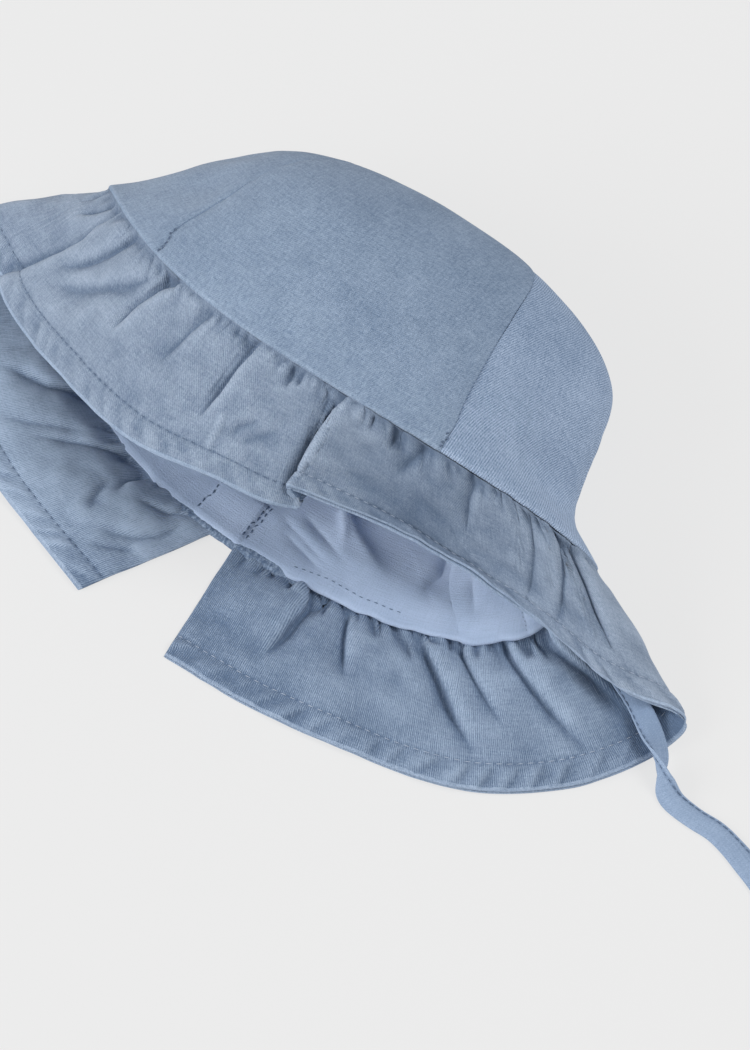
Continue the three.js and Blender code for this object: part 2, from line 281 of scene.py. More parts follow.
# Each twill: its darkest and palest colour, how its lines lean, then its line, speckle and bump
TWILLS = {
    # The worn_and_lit twill makes the hem lips paler: washed wear, and a painted highlight on their
    # rounded edge.
    "worn_and_lit": ((0.200, 0.275, 0.400, 1), (0.430, 0.530, 0.680, 1), 0.62, 0.3, 0.8, 0.5),
    "outer": ((0.126, 0.189, 0.295, 1), (0.386, 0.485, 0.630, 1), 0.62, 0.5, 0.5, 0.5),
    # The side twill is a paler copy of the crown's twill with stronger lines: painted light on the
    # right panel.
    "side": ((0.165, 0.245, 0.380, 1), (0.495, 0.610, 0.800, 1), 0.80, 1.5, 0.5, 0.5),
    "brim": ((0.129, 0.185, 0.281, 1), (0.404, 0.487, 0.615, 1), 0.62, 0.8, 0.4, 0.5),
    "inner": ((0.108, 0.163, 0.261, 1), (0.377, 0.475, 0.624, 1), -0.05, 1.7, 0.3, 0.28),
    "band": ((0.108, 0.163, 0.261, 1), (0.377, 0.475, 0.624, 1), 0.62, 0.2, 1.8, 0.5),
    "tie": ((0.225, 0.308, 0.450, 1), (0.405, 0.517, 0.690, 1), 0.62, 0.3, 0.1, 0.2),
}
LINING_DARK = (0.290, 0.380, 0.540, 1)
# The lining's palest colour is brighter than the cloth, so that painted light can lift the shaded
# inside of the crown.
LINING_PALE = (0.638, 0.762, 0.985, 1)
THREADS = {
    "pale": (0.42, 0.49, 0.61, 1),
    "soft": (0.27, 0.34, 0.46, 1),
    "dark": (0.11, 0.16, 0.25, 1),
}
cloth = {name: twill(name + "_twill", *row) for name, row in TWILLS.items()}
cloth["lining"] = plain_weave("lining_weave", LINING_DARK, LINING_PALE)
thread = {tone: sewing_thread(tone + "_thread", colour) for tone, colour in THREADS.items()}
print("cloths:", sorted(cloth), "threads:", sorted(thread))

# %% Floor finish
floor_finish, floor_shader, _ = new_finish("floor_grey", roughness=1.0, sheen=0.0, specular=0.0)
floor_shader.inputs["Base Color"].default_value = (FLOOR_GREY, FLOOR_GREY, FLOOR_GREY, 1)
floor_shader.inputs["Emission Color"].default_value = (FLOOR_GLOW, FLOOR_GLOW, FLOOR_GLOW, 1)
floor_shader.inputs["Emission Strength"].default_value = 1.0
floor.data.materials.append(floor_finish)
print("floor finish:", floor_finish.name)

# %% [markdown]
# ## Tables and waves
#
# Cut cloth is a flat grid of threads, so each piece is worked out as a grid of points. A table of
# sections with a smooth curve through its rows gives the places. The tables are in millimetres
# and have the columns of those that shaped the frame. A few short functions do the rest: a
# smooth step, a soft spot and random waves, each the same on every run.

# %% Tables and waves
def table(columns, rows):
    return {name: np.array([row[i] for row in rows], float) for i, name in enumerate(columns)}


def smooth(rows, at):
    """A smooth curve through the rows of a table, read at values of its first column."""
    key, *columns = rows
    stops = rows[key]
    i = np.clip(np.searchsorted(stops, at, side="right") - 1, 0, len(stops) - 2)
    step = stops[i + 1] - stops[i]
    u = (at - stops[i]) / step
    index = np.arange(len(stops))
    before = np.maximum(index - 1, 0)
    after = np.minimum(index + 1, len(stops) - 1)
    value = {}
    for name in columns:
        v = rows[name]
        slope = (v[after] - v[before]) / (stops[after] - stops[before])
        value[name] = (
            v[i] * (2 * u**3 - 3 * u**2 + 1)
            + slope[i] * step * (u**3 - 2 * u**2 + u)
            + v[i + 1] * (3 * u**2 - 2 * u**3)
            + slope[i + 1] * step * (u**3 - u**2)
        )
    return value


def unit(vectors):
    length = np.linalg.norm(vectors, axis=-1, keepdims=True)
    return vectors / np.maximum(length, 1e-9)


def ease(value, low, high):
    """0 below low, 1 above high and smooth between."""
    t = np.clip((value - low) / (high - low), 0, 1)
    return t * t * (3 - 2 * t)


def close_to(value, place, reach):
    """1 at this place, fading smoothly to almost nothing two reaches away."""
    return np.exp(-(((value - place) / reach) ** 2))


LATTICE = 97


def ripple(u, v, size, seed):
    """Smooth random waves from -1 to 1, about this size in millimetres."""
    lattice = np.random.default_rng(seed).uniform(-1, 1, (LATTICE, LATTICE))
    x, y = u / size, v / size
    i, j = np.floor(x).astype(int), np.floor(y).astype(int)
    s, t = ease(x - i, 0, 1), ease(y - j, 0, 1)
    corner = [lattice[(i + a) % LATTICE, (j + b) % LATTICE] for a in (0, 1) for b in (0, 1)]
    near = corner[0] * (1 - t) + corner[1] * t
    far = corner[2] * (1 - t) + corner[3] * t
    return near * (1 - s) + far * s


def xyz(curve):
    return np.stack([curve[axis] for axis in "xyz"], axis=-1)


def run_along(points):
    """How far each point lies from the first row, measured along the cloth."""
    step = np.linalg.norm(np.diff(points, axis=0), axis=-1)
    return np.concatenate([np.zeros_like(step[:1]), np.cumsum(step, axis=0)])


def read_path(at, run, points):
    """Points of a path at these distances along it."""
    return np.stack([np.interp(at, run, points[:, axis]) for axis in range(3)], axis=-1)


def grid_normals(points):
    rows = np.gradient(points, axis=0)
    columns = np.gradient(points, axis=1)
    return unit(np.cross(columns, rows))


def grid_place(grid, row, column):
    """Values of a grid between its rows and columns."""
    i, j = np.floor(row).astype(int), np.floor(column).astype(int)
    f, g = (np.asarray(row) - i)[:, None], (np.asarray(column) - j)[:, None]
    near = grid[i, j] * (1 - g) + grid[i, j + 1] * g
    far = grid[i + 1, j] * (1 - g) + grid[i + 1, j + 1] * g
    return near * (1 - f) + far * f


def stay_above(points, ground):
    points[..., 2] = np.maximum(points[..., 2], ground)


print("tables and waves ready")

# %% [markdown]
# ## Creases and how cloth settles
#
# A crease in sewn cloth has a soft flank and a steep one, and leans over the steep side. Here a
# crease is a line on the flat cloth, which is easy to read and to change. Pushing points up and
# down stretches the threads, so a sheet is then pulled until they have their cut lengths again.
# Blender's own cloth simulation could do that too, but its folds would choose their own places.

# %% Creases and how cloth settles
CREASE_ROUND = 0.5
CREASE_FREE = 2.5
CREASE_REACH = 8.0
CREASE_RIDGE = 0.34
CREASE_PUSH = 0.22
CREASE_FADES = 0.58
CREASE_RISES = 0.3
CREASE_SHADE_HEIGHT = 0.5
# Each pull: the grid's axis, how many points apart, how stiff, and its slack
THREAD_PULLS = [
    (1, 1, 1.0, 0.0),
    (0, 1, 1.0, 0.0),
    (1, 3, 0.6, 0.91),
    (1, 8, 0.4, 0.80),
    (0, 2, 0.5, 0.97),
]


def flat_lines(creases, round_size, up_size):
    """Creases with their lines in millimetres, from shares of these two sizes."""
    return [(*row[:4], [(a * round_size, up * up_size) for a, up in row[4]]) for row in creases]


def crease_height(u, v, creases):
    """Height and sideways push of sharp creases, which are lines on the flat cloth in millimetres.

    A crease is (height, soft, steep, side, points). Its flanks fall off over the soft and the
    steep width, and side says which is steep: 1 is the left of the line and -1 the right.
    """
    place = np.stack(np.broadcast_arrays(u, v), axis=-1)
    height = np.zeros(place.shape[:-1])
    push = np.zeros_like(height)
    for size, soft, steep, side, line in creases:
        line = np.array(line, float)
        nearest = np.full_like(height, np.inf)
        across = np.zeros_like(height)
        run = np.zeros_like(height)
        passed = 0.0
        for corner, step in zip(line, np.diff(line, axis=0)):
            length = np.linalg.norm(step)
            gap = place - corner
            share = np.clip(gap @ step / length**2, 0, 1)
            distance = np.linalg.norm(gap - share[..., None] * step, axis=-1)
            left = step[0] * gap[..., 1] - step[1] * gap[..., 0]
            closer = distance < nearest
            nearest = np.where(closer, distance, nearest)
            across = np.where(closer, distance * np.sign(left) * side, across)
            run = np.where(closer, passed + share * length, run)
            passed += length
        rounded = np.sqrt(nearest**2 + CREASE_ROUND**2) - CREASE_ROUND
        line_shape = np.exp(-rounded / np.where(across > 0, steep, soft))
        beyond = np.maximum(across, 0)
        ridge = (1 - np.exp(-beyond / steep)) * np.exp(-beyond / CREASE_REACH)
        lean = close_to(across, 2 * steep, 2 * steep)
        fade = 1 - ease(run / passed, CREASE_FADES, 1.0)
        if line[0][1] > CREASE_FREE:
            fade = fade * ease(run / passed, 0.0, CREASE_RISES)
        height += size * fade * (line_shape - CREASE_RIDGE * ridge)
        push += size * fade * side * lean * CREASE_PUSH
    return height, push


def pull_threads(points, flat, axis, step, stiffness, slack=0.0):
    """Bring grid points that lie step apart nearer to their distance on the flat cut cloth.

    With slack, only points closer than that share of the distance move: it keeps folds round.
    """
    cut = flat[..., 1 - axis]
    grid, cut, stiff = (array.swapaxes(0, axis) for array in (points, cut, stiffness))
    count = len(grid)
    for first in range(2 * step):
        near = slice(first, count - step, 2 * step)
        far = slice(first + step, count, 2 * step)
        gap = grid[far] - grid[near]
        length = np.linalg.norm(gap, axis=-1)
        rest = np.abs(cut[far] - cut[near])
        change = 1 - rest * (slack or 1) / np.maximum(length, 1e-6)
        if slack:
            change = np.minimum(change, 0)
        move = gap * (np.clip(change, -0.5, 0.5) * stiff[near] / 2)[..., None]
        grid[near] += move
        grid[far] -= move


def settle(points, flat, hold, loose, rounds, ground):
    """Let a sheet buckle until its threads have their cut lengths again."""
    goal = points
    points = points.copy()
    for _ in range(rounds):
        for axis, step, stiffness, slack in THREAD_PULLS:
            pull_threads(points, flat, axis, step, loose * stiffness, slack)
        points += (goal - points) * hold[..., None]
        stay_above(points, ground)
    return points


def worn_and_lit(points, reach):
    """1 on ridges and -1 in creases, against a surface smoothed over this many grid points. It sets
    where ridges are painted lighter and creases painted darker, with a little washed wear.
    """
    normals = grid_normals(points)
    near = points.copy()
    for _ in range(reach):
        near[1:-1] = (near[:-2] + near[2:] + 2 * near[1:-1]) / 4
        near[:, 1:-1] = (near[:, :-2] + near[:, 2:] + 2 * near[:, 1:-1]) / 4
    height = ((points - near) * normals).sum(axis=-1)
    return np.clip(height / CREASE_SHADE_HEIGHT, -1, 1)


print("crease helpers ready")

# %% [markdown]
# ## Sheets and stitches
#
# Each sheet starts as Blender's grid primitive, whose points are then moved to where the sewn
# cloth lies, and a Solidify modifier gives it a wall. Stitches are short threads with rounded
# ends. An array along a curve could lay them, but code lets each one follow its sheet.

# %% Sheets
def sheet(name, points, flat, material, wear_and_shade, merge=0.0, flip=False):
    """A grid primitive moved to these points (rows x columns), with its flat place as UV map.

    With flip the columns run the other way, which turns the faces to the outside.
    """
    if flip:
        points, flat, wear_and_shade = (array[:, ::-1] for array in (points, flat, wear_and_shade))
    rows, columns = points.shape[:2]
    bpy.ops.object.select_all(action="DESELECT")
    bpy.ops.mesh.primitive_grid_add(
        x_subdivisions=columns - 1, y_subdivisions=rows - 1, size=1, calc_uvs=True
    )
    piece = bpy.context.object
    piece.name = name
    mesh = piece.data
    mesh.vertices.foreach_set("co", (points * MM).astype(np.float32).ravel())
    corner_vertex = np.zeros(len(mesh.loops), int)
    mesh.loops.foreach_get("vertex_index", corner_vertex)
    uv = (flat / UV_DECIMETRE_IN_MM).reshape(-1, 2)[corner_vertex]
    mesh.uv_layers[0].data.foreach_set("uv", uv.astype(np.float32).ravel())
    mesh.uv_layers[0].name = "flat_cloth"
    layer = mesh.attributes.new("wear_and_shade", "FLOAT", "POINT")
    layer.data.foreach_set("value", wear_and_shade.astype(np.float32).ravel())
    mesh.update()
    if merge:
        bpy.ops.object.mode_set(mode="EDIT")
        bpy.ops.mesh.select_all(action="SELECT")
        bpy.ops.mesh.remove_doubles(threshold=merge * MM)
        bpy.ops.object.mode_set(mode="OBJECT")
    bpy.ops.object.shade_smooth()
    mesh.materials.append(material)
    return piece


def thicken(piece, wall):
    """A wall grown to the inside of a sheet, with its rim closed."""
    bpy.context.view_layer.objects.active = piece
    solid = piece.modifiers.new("wall", "SOLIDIFY")
    solid.thickness = wall * MM
    solid.offset = -1
    bpy.ops.object.modifier_apply(modifier=solid.name)


def dress(piece, nodes):
    """The piece rides on the hat and stands for these nodes, which are hidden."""
    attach(piece, "root")
    if nodes:
        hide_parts(*nodes)
    print(piece.name, len(piece.data.polygons), "faces")


def filled_share(widths, tall):
    """How much of its box a cut with these widths at these heights fills."""
    area = ((widths[1:] + widths[:-1]) / 2 * np.diff(tall)).sum()
    return area / (widths.max() * tall[-1])


def declare_cloth(piece, width, length, share=1.0):
    """Print what size, in millimetres, a sheet was cut to, and how much of that box its cut fills."""
    area = width * length * share * MM * MM
    width * MM
    length * MM
    print(piece.name, "cut to", round(width), "by", round(length), "mm, filled", round(share, 2))


print("sheet helpers ready")

# %% Stitches
STITCH_SIDES = 6
STITCH_RINGS = 5
STITCH_TIP = 0.02
STITCH_SUNK = 1.1


def stitches(name, runs, material):
    """Short threads along paths. Each run is (points, normals, length, pitch, radius, start)."""
    t = np.linspace(0, 1, STITCH_RINGS)
    bulge = np.sqrt(np.clip(1 - (2 * t - 1) ** 2, STITCH_TIP, 1))[None, :, None, None]
    turn = np.linspace(0, 2 * np.pi, STITCH_SIDES, endpoint=False)[None, None, :, None]
    corners = []
    for points, normals, length, pitch, radius, start in runs:
        run = run_along(points)
        at = np.arange(start, run[-1] - length, pitch)[:, None] + t * length
        centre = read_path(at, run, points)
        normal = unit(read_path(at, run, normals))
        forward = unit(centre[:, -1:] - centre[:, :1])
        aside = unit(np.cross(normal, forward))
        lift = normal * (radius * (2 * bulge[..., 0] - STITCH_SUNK))
        ring = normal[:, :, None] * np.sin(turn) + aside[:, :, None] * np.cos(turn)
        corners.append((centre + lift)[:, :, None] + ring * radius * bulge)
    corners = np.concatenate(corners)
    one = np.arange(STITCH_RINGS * STITCH_SIDES).reshape(STITCH_RINGS, STITCH_SIDES)
    beside = np.roll(one, -1, axis=1)
    walls = np.stack([one[:-1], beside[:-1], beside[1:], one[1:]], axis=-1).reshape(-1, 4)
    ends = np.array([one[0, ::-1], one[-1]])
    first = (np.arange(len(corners)) * one.size)[:, None, None]
    faces = []
    for part in (walls, ends):
        faces += (part + first).reshape(-1, part.shape[1]).tolist()
    mesh = bpy.data.meshes.new(name)
    mesh.from_pydata((corners.reshape(-1, 3) * MM).tolist(), [], faces)
    mesh.shade_smooth()
    mesh.materials.append(material)
    piece = bpy.data.objects.new(name, mesh)
    bpy.context.scene.collection.objects.link(piece)
    dress(piece, ())
    return piece


print("stitch helper ready")

# %% [markdown]
# ## Ties
#
# Each tie is a narrow strip, folded and topstitched along one edge. The right one comes out under
# the ruffle, makes half a turn and lies on the ground past the picture's edge. A ribbon along a
# list of points suits it better than simulated cord, because the twist is plain to see.

# %% Ties
TIE_WIDTH = 7.5
TIE_WALL = 1.5
TIE_STITCH = 2.9
TIE_CUP = 2.0
TIE_SHADE = 1.2
TIE_ROWS = 260
TIE_ROUND = 32
TIE_SIDE_POWER = 0.35
TIE_FACE_POWER = 0.6
TIE_WANDER = 0.25
TIE_UNEVEN = 0.2
TIE_GROOVE = 0.35
TIE_TWIST_AT, TIE_TWIST_REACH = -90, 60
TIE_EDGE = (0.8, 1.0)
TIE_SHADED = (42, 62)
STITCHED_SIDE = -1
# Length, pitch, radius and start of the stitches
TIE_STITCHES = (2.4, 2.5, 0.16, 1.0)
TIE_COLUMNS = ["row", "x", "y", "z", "turn"]
TIE_RIGHT = [
    [104, -13.5, 19.2, 26],
    [110, -16, 15.9, 27],
    [118, -19.5, 11.5, 28],
    [126, -22.5, 8.5, 27],
    [134, -26, 6.8, 20],
    [142, -30.8, 6.0, 5],
    [148.5, -35.5, 5.8, -35],
    [152.6, -39.7, 5.2, -80],
    [156, -43, 3.9, -125],
    [161, -45.2, 2.0, -158],
    [169, -45.6, 0.9, -178],
    [177, -45.4, 0.8, -180],
    [184, -46.8, 0.8, -180],
    [192, -49.4, 0.8, -180],
    [199, -52.5, 0.8, -180],
]
TIE_LEFT = [
    [-112, 2, 14.9, -35],
    [-119, 0, 12.8, -37],
    [-128, -4, 10.4, -41],
    [-137, -9, 7.7, -39],
    [-146, -15, 5.1, -25],
    [-154, -21, 3.4, -8],
    [-162, -26, 1.9, 0],
    [-170, -30, 1.0, 0],
    [-178, -35, 0.8, 0],
    [-186, -41, 0.8, 0],
    [-193, -47, 0.8, 0],
    [-199, -54, 0.8, 0],
]


def tie(name, route):
    rows = table(TIE_COLUMNS, [[i, *row] for i, row in enumerate(route)])
    curve = smooth(rows, np.linspace(0, len(route) - 1, TIE_ROWS))
    middle = xyz(curve)
    along = unit(np.gradient(middle, axis=0))
    level = unit(np.stack([-along[:, 1], along[:, 0], np.zeros(TIE_ROWS)], axis=-1))
    turn = np.radians(curve["turn"])[:, None]
    across = level * np.cos(turn) + np.cross(along, level) * np.sin(turn)
    up = np.cross(along, across)
    run = run_along(middle)

    angle = np.linspace(0, 2 * np.pi, TIE_ROUND + 1)
    side = np.sign(np.cos(angle)) * np.abs(np.cos(angle)) ** TIE_SIDE_POWER
    face = np.sign(np.sin(angle)) * np.abs(np.sin(angle)) ** TIE_FACE_POWER
    half_width = TIE_WIDTH / 2 + TIE_WANDER * ripple(run, 0, 9.0, 4)[:, None]
    to_stitch = side * TIE_WIDTH / 2 - STITCHED_SIDE * TIE_STITCH
    groove = TIE_GROOVE * close_to(to_stitch, 0, 0.45)
    twisted = close_to(curve["turn"], TIE_TWIST_AT, TIE_TWIST_REACH)[:, None]
    cup = TIE_CUP * twisted * (side**2 - 0.4)
    half_wall = (TIE_WALL / 2 - groove) * (1 + TIE_UNEVEN * ripple(run, 0, 6.0, 7)[:, None])
    points = (
        middle[:, None]
        + across[:, None] * (half_width * side)[..., None]
        + up[:, None] * (half_wall * face + cup)[..., None]
    )
    stay_above(points, 0.05)
    flat = np.stack(np.broadcast_arrays(run[:, None], half_width * side), axis=-1)
    # The tie is paler along its folded edge and darker along the stitched groove, and painted shadow
    # darkens it where it comes out under the ruffle.
    edge = ease(side * STITCHED_SIDE, *TIE_EDGE)
    shaded = TIE_SHADE * (1 - ease(run, *TIE_SHADED))[:, None]
    wear_and_shade = 0.7 * edge - 2.6 * close_to(to_stitch, 0, 0.35) - shaded * (1 - edge)
    pressed = points - up[:, None] * (half_wall * face)[..., None]
    points = np.concatenate([pressed[:1], points, pressed[-1:]])
    flat, wear_and_shade = (np.concatenate([array[:1], array, array[-1:]]) for array in (flat, wear_and_shade))
    piece = sheet(name + "_cloth", points, flat, cloth["tie"], wear_and_shade, merge=0.01, flip=True)
    dress(piece, [name])
    sewn_line = middle + across * STITCHED_SIDE * TIE_STITCH + up * cup.max(axis=1)[:, None] * 0.4
    lines = [
        (sewn_line + up * face_side * TIE_WALL * 0.27, up * face_side, *TIE_STITCHES)
        for face_side in (1, -1)
    ]
    sewn = stitches(name + "_stitches", lines, thread["dark"])
    print(name, "length in mm:", round(run[-1], 1))


tie("tie_right", TIE_RIGHT)
tie("tie_left", TIE_LEFT)

# %% [markdown]
# ## The crown's form
#
# The crown is four panels that meet at the top. Lying on its back it is a flattened dome, so it
# is easiest to describe as rings from the brim seam to the top. Each ring bulges over the front
# and is pressed flat on the ground at the back.

# %% Crown rings
CROWN_MID_X = -4
RING_SIDE_POWER = 0.88
RING_TOP_POWER = 1.3
RING_BASE_POWER = 0.9
RING_FRONT_BLEND = 2.0
RING_BACK_BLEND_LEFT = 1.2
RING_BACK_BLEND_RIGHT = 0.85
RING_PRESS = 9
RING_SAMPLES = 480
APEX_LIFT_POWER = 10
APEX_END = 0.9995
EDGE_STEP = 0.004
CROWN_RINGS = table(
    ["along", "left_x", "right_x", "side_z", "left_y", "right_y", "front_y", "front_z", "back_y"],
    [
        [0.00, -111, 103, 22, 18, -3, -20, 64, -53],
        [0.10, -103.5, 88, 22, 24.5, 6, -7, 68, -38],
        [0.25, -95.5, 81, 22, 33, 20, 12, 71, -17],
        [0.45, -86, 76, 22, 46, 37, 36.5, 69, 13],
        [0.65, -71.5, 67.5, 22, 57.5, 54.5, 56, 59.5, 40],
        [0.83, -46, 46, 22, 66, 65, 66.5, 42.5, 60],
        [1.00, -4, -4, 22, 70, 70, 70, 22, 70],
    ],
)


def crown_ring(along):
    """One ring as points, with the share of the way round at each and its whole length."""
    r = smooth(CROWN_RINGS, along)
    angle = np.linspace(0, 2 * np.pi, RING_SAMPLES + 1)
    sine, lift = np.sin(angle), np.abs(np.cos(angle))
    side, front, right = np.sign(sine), np.cos(angle) < 0, sine > 0
    side_power, top_power, base_power = (
        power + (1 - power) * along**3
        for power in (RING_SIDE_POWER, RING_TOP_POWER, RING_BASE_POWER)
    )
    reach = np.where(right, r["right_x"] - CROWN_MID_X, CROWN_MID_X - r["left_x"])
    x = CROWN_MID_X + reach * side * np.abs(sine) ** side_power
    side_share = 0.5 + 0.5 * side * np.sqrt(np.abs(sine))
    side_y = r["left_y"] + (r["right_y"] - r["left_y"]) * side_share
    back_blend = np.where(right, RING_BACK_BLEND_RIGHT, RING_BACK_BLEND_LEFT)
    front_y = side_y + (r["front_y"] - side_y) * lift**RING_FRONT_BLEND
    back_y = side_y + (r["back_y"] - side_y) * lift**back_blend
    press = (r["side_z"] + RING_PRESS * (1 - along)) * (1 - along**APEX_LIFT_POWER)
    front_z = r["side_z"] + (r["front_z"] - r["side_z"]) * lift**top_power
    back_z = np.maximum(0, r["side_z"] - press * lift**base_power)
    y, z = np.where(front, front_y, back_y), np.where(front, front_z, back_z)
    points = np.stack([x, y, z], axis=1)
    step = np.linalg.norm(np.diff(points, axis=0), axis=1)
    halves = [np.cumsum(s) / s.sum() / 2 for s in np.split(step, 2)]
    share = np.concatenate([[0], halves[0], 0.5 + halves[1]])
    return points, share, step.sum()


def crown_form(around, along):
    """Points of the plain crown at each along (rows) and around (columns), and the ring lengths."""
    rows, lengths = [], []
    for a, places in zip(along, np.broadcast_to(around, (len(along), np.shape(around)[-1]))):
        points, share, length = crown_ring(a)
        rows.append(read_path(places % 1, share, points))
        lengths.append(length)
    return np.array(rows), np.array(lengths)


print("brim seam round in mm:", round(crown_ring(0.0)[2]))

# %% [markdown]
# ## Crown panels
#
# A sewn panel rolls in at its lower edge and dips where it meets its neighbour. Modelling those
# dips is better than painting dark lines, because the light then falls into them by itself. Some
# painted shade still darkens the seams and the top, and a painted highlight with a little wear
# pales the rolled edge.

# %% Crown panels
FRONT_SHARE = 0.232
PANEL_ROLL = 0.009
SIDE_SHARE = (1 - FRONT_SHARE) / 3
FRONT_RIGHT_SEAM = 0.5 - FRONT_SHARE / 2 + PANEL_ROLL
FRONT_LEFT_SEAM = FRONT_RIGHT_SEAM + FRONT_SHARE
BACK_RIGHT_SEAM = FRONT_RIGHT_SEAM - SIDE_SHARE
BACK_LEFT_SEAM = FRONT_LEFT_SEAM + SIDE_SHARE
RIGHT_SEAM_DRIFT = -0.0095
LEFT_SEAM_DRIFT = -0.0095
SEAM_DRIFT_END = 0.10
CROWN_WALL = 1.2
SEAM_GAP = 0.03
EDGE_ROLL = 1.1
PANEL_ROWS = 150
PANEL_COLUMNS = 140
CROWN_DENTS = table(
    ["around", "along", "reach_round", "reach_up", "depth"],
    [
        [0.655, 0.22, 0.030, 0.10, 2.5],
        [0.690, 0.45, 0.025, 0.10, 2.0],
        [0.300, 0.12, 0.030, 0.08, 2.0],
    ],
)
SEAM_CREASE, SEAM_CREASE_REACH = 0.12, 0.25
SEAM_HOLLOW, SEAM_HOLLOW_REACH = 0.20, 1.6
SEAM_PUCKER, SEAM_PUCKER_REACH = 0.16, 4.0
EDGE_PUCKER, EDGE_PUCKER_REACH = 0.14, 5.0
DRAPE, FINE_DRAPE = 0.60, 0.12
EDGE_LIGHT_AND_WEAR = 0.9
CROWN_SEAM_SHADE = 0.5
TOP_SHADE = 0.5
PANEL_FLAT_APART = 300


def dent_depth(around, along):
    depth = 0
    for place, up, reach_round, reach_up, deep in zip(*CROWN_DENTS.values()):
        depth = depth + deep * close_to(around, place, reach_round) * close_to(along, up, reach_up)
    return depth


def crowded(count):
    """Steps from 0 to 1 that lie closer together at both ends."""
    t = np.linspace(0, 1, count)
    return 0.14 * t + 0.86 * (0.5 - 0.5 * np.cos(np.pi * t))


def panel_depth(around, along, round_run, up_run, to_side, seam_depth):
    """How far in a panel lies from the plain crown: its rolled edge, seams, puckers and dents."""
    roll = EDGE_ROLL - np.sqrt(np.clip(EDGE_ROLL**2 - (EDGE_ROLL - up_run) ** 2, 0, None))
    roll = np.where(up_run < EDGE_ROLL, roll, 0)
    valley = SEAM_CREASE * seam_depth * close_to(to_side, 0, SEAM_CREASE_REACH)
    valley = valley + SEAM_HOLLOW * close_to(to_side, 0, SEAM_HOLLOW_REACH)
    pucker = SEAM_PUCKER * ripple(up_run, to_side, 3.2, 11) * close_to(to_side, 0, SEAM_PUCKER_REACH)
    edge_pucker = EDGE_PUCKER * ripple(round_run, up_run, 3.0, 12)
    edge_pucker = edge_pucker * close_to(up_run, 0, EDGE_PUCKER_REACH)
    return dent_depth(around % 1, along) + roll + valley + pucker + edge_pucker


def crown_panel(name, number, from_seam, to_seam, material, seam_depths=(1, 1)):
    """One panel between two seams, which may be of different depths."""
    t = np.linspace(0, 1, PANEL_ROWS)
    along = (0.5 * t**2 + 0.5 * t) * APEX_END
    first, last = from_seam(along)[:, None], to_seam(along)[:, None]
    around = first + (last - first) * crowded(PANEL_COLUMNS)
    form, lengths = crown_form(around, along)
    normal = -grid_normals(form)
    up_run = run_along(form)
    round_run = (around - (first + last) / 2) * lengths[:, None]
    to_side = np.maximum((last - first) / 2 * lengths[:, None] - np.abs(round_run), 0)
    seam_depth = np.where(round_run < 0, *seam_depths)

    inward = panel_depth(around, along[:, None], round_run, up_run, to_side, seam_depth)
    drape = DRAPE * ripple(round_run + 200, up_run, 24.0, 13)
    drape = drape + FINE_DRAPE * ripple(round_run, up_run, 8.0, 14)
    inward = inward + drape * ease(form[..., 2], 1.0, 6.0) * ease(up_run, 0, 20)
    gap = np.sign(round_run) * SEAM_GAP * np.exp(-to_side)
    tangent = unit(np.gradient(form, axis=1))
    points = form - normal * inward[..., None] - tangent * gap[..., None]
    stay_above(points, 0)
    flat = np.stack([round_run + PANEL_FLAT_APART * number, up_run], axis=-1)
    # A painted highlight with some wear on the rolled lower edge, painted shade in the seams and
    # painted shade towards the top.
    hatch = 0.5 + 0.5 * ripple(round_run * 2.2, up_run, 1.6, 15)
    wear_and_shade = EDGE_LIGHT_AND_WEAR * hatch * close_to(up_run, 0.7, 0.9)
    wear_and_shade = wear_and_shade - CROWN_SEAM_SHADE * seam_depth * close_to(to_side, 0, 0.30)
    wear_and_shade = wear_and_shade - TOP_SHADE * ease(along[:, None], 0.35, 0.8)
    piece = sheet(name + "_cloth", points, flat, material, wear_and_shade, merge=0.02, flip=True)
    thicken(piece, CROWN_WALL)
    dress(piece, [name])
    widths = ((last - first) * lengths[:, None])[:, 0]
    tall = up_run.mean(axis=1)
    declare_cloth(piece, widths.max(), tall[-1], filled_share(widths, tall))


def front_right(along):
    return FRONT_RIGHT_SEAM + RIGHT_SEAM_DRIFT * ease(along, -0.01, SEAM_DRIFT_END)


def front_left(along):
    return FRONT_LEFT_SEAM + LEFT_SEAM_DRIFT * (1 - ease(along, 0, SEAM_DRIFT_END))


def straight_seam(place):
    return lambda along: place + 0 * along


back_left = straight_seam(BACK_LEFT_SEAM)
back_right = straight_seam(BACK_RIGHT_SEAM)
back_right_again = straight_seam(BACK_RIGHT_SEAM + 1)
# The right panel takes the paler side twill, as painted light.
crown_panel("crown_right", 1, back_right, front_right, cloth["side"])
crown_panel("crown_front", 2, front_right, front_left, cloth["outer"], seam_depths=(1, 0.12))
crown_panel("crown_left", 3, front_left, back_left, cloth["outer"], seam_depths=(0.12, 1))
crown_panel("crown_back", 4, back_left, back_right_again, cloth["outer"])

# %% Stitches beside the crown seams
SEAM_LINE_POINTS = 40
SEAM_LINE_WANDER = 0.0012
SEAM_LINE_SUNK = 0.12
# Length, pitch, radius and start of the stitches
SEAM_LINE_STITCHES = (1.5, 2.1, 0.28, 0.2)


def seam_stitches(seam, aside, from_along, to_along):
    """A line of uneven stitches that shows beside the lower end of a seam."""
    along = np.linspace(from_along, to_along, SEAM_LINE_POINTS)
    wander = SEAM_LINE_WANDER * ripple(np.arange(SEAM_LINE_POINTS), 0, 4.0, 16)
    around = (seam(along) + aside + wander)[:, None] + np.array([-EDGE_STEP, 0, EDGE_STEP])
    form, _ = crown_form(around, along)
    normal = -grid_normals(form)[:, 1]
    return form[:, 1] - normal * SEAM_LINE_SUNK, normal, *SEAM_LINE_STITCHES


seam_lines = [
    seam_stitches(front_left, 0.0, 0.006, 0.085),
    seam_stitches(front_right, 0.0008, 0.006, 0.06),
]
stitches("crown_stitches", seam_lines, thread["dark"])

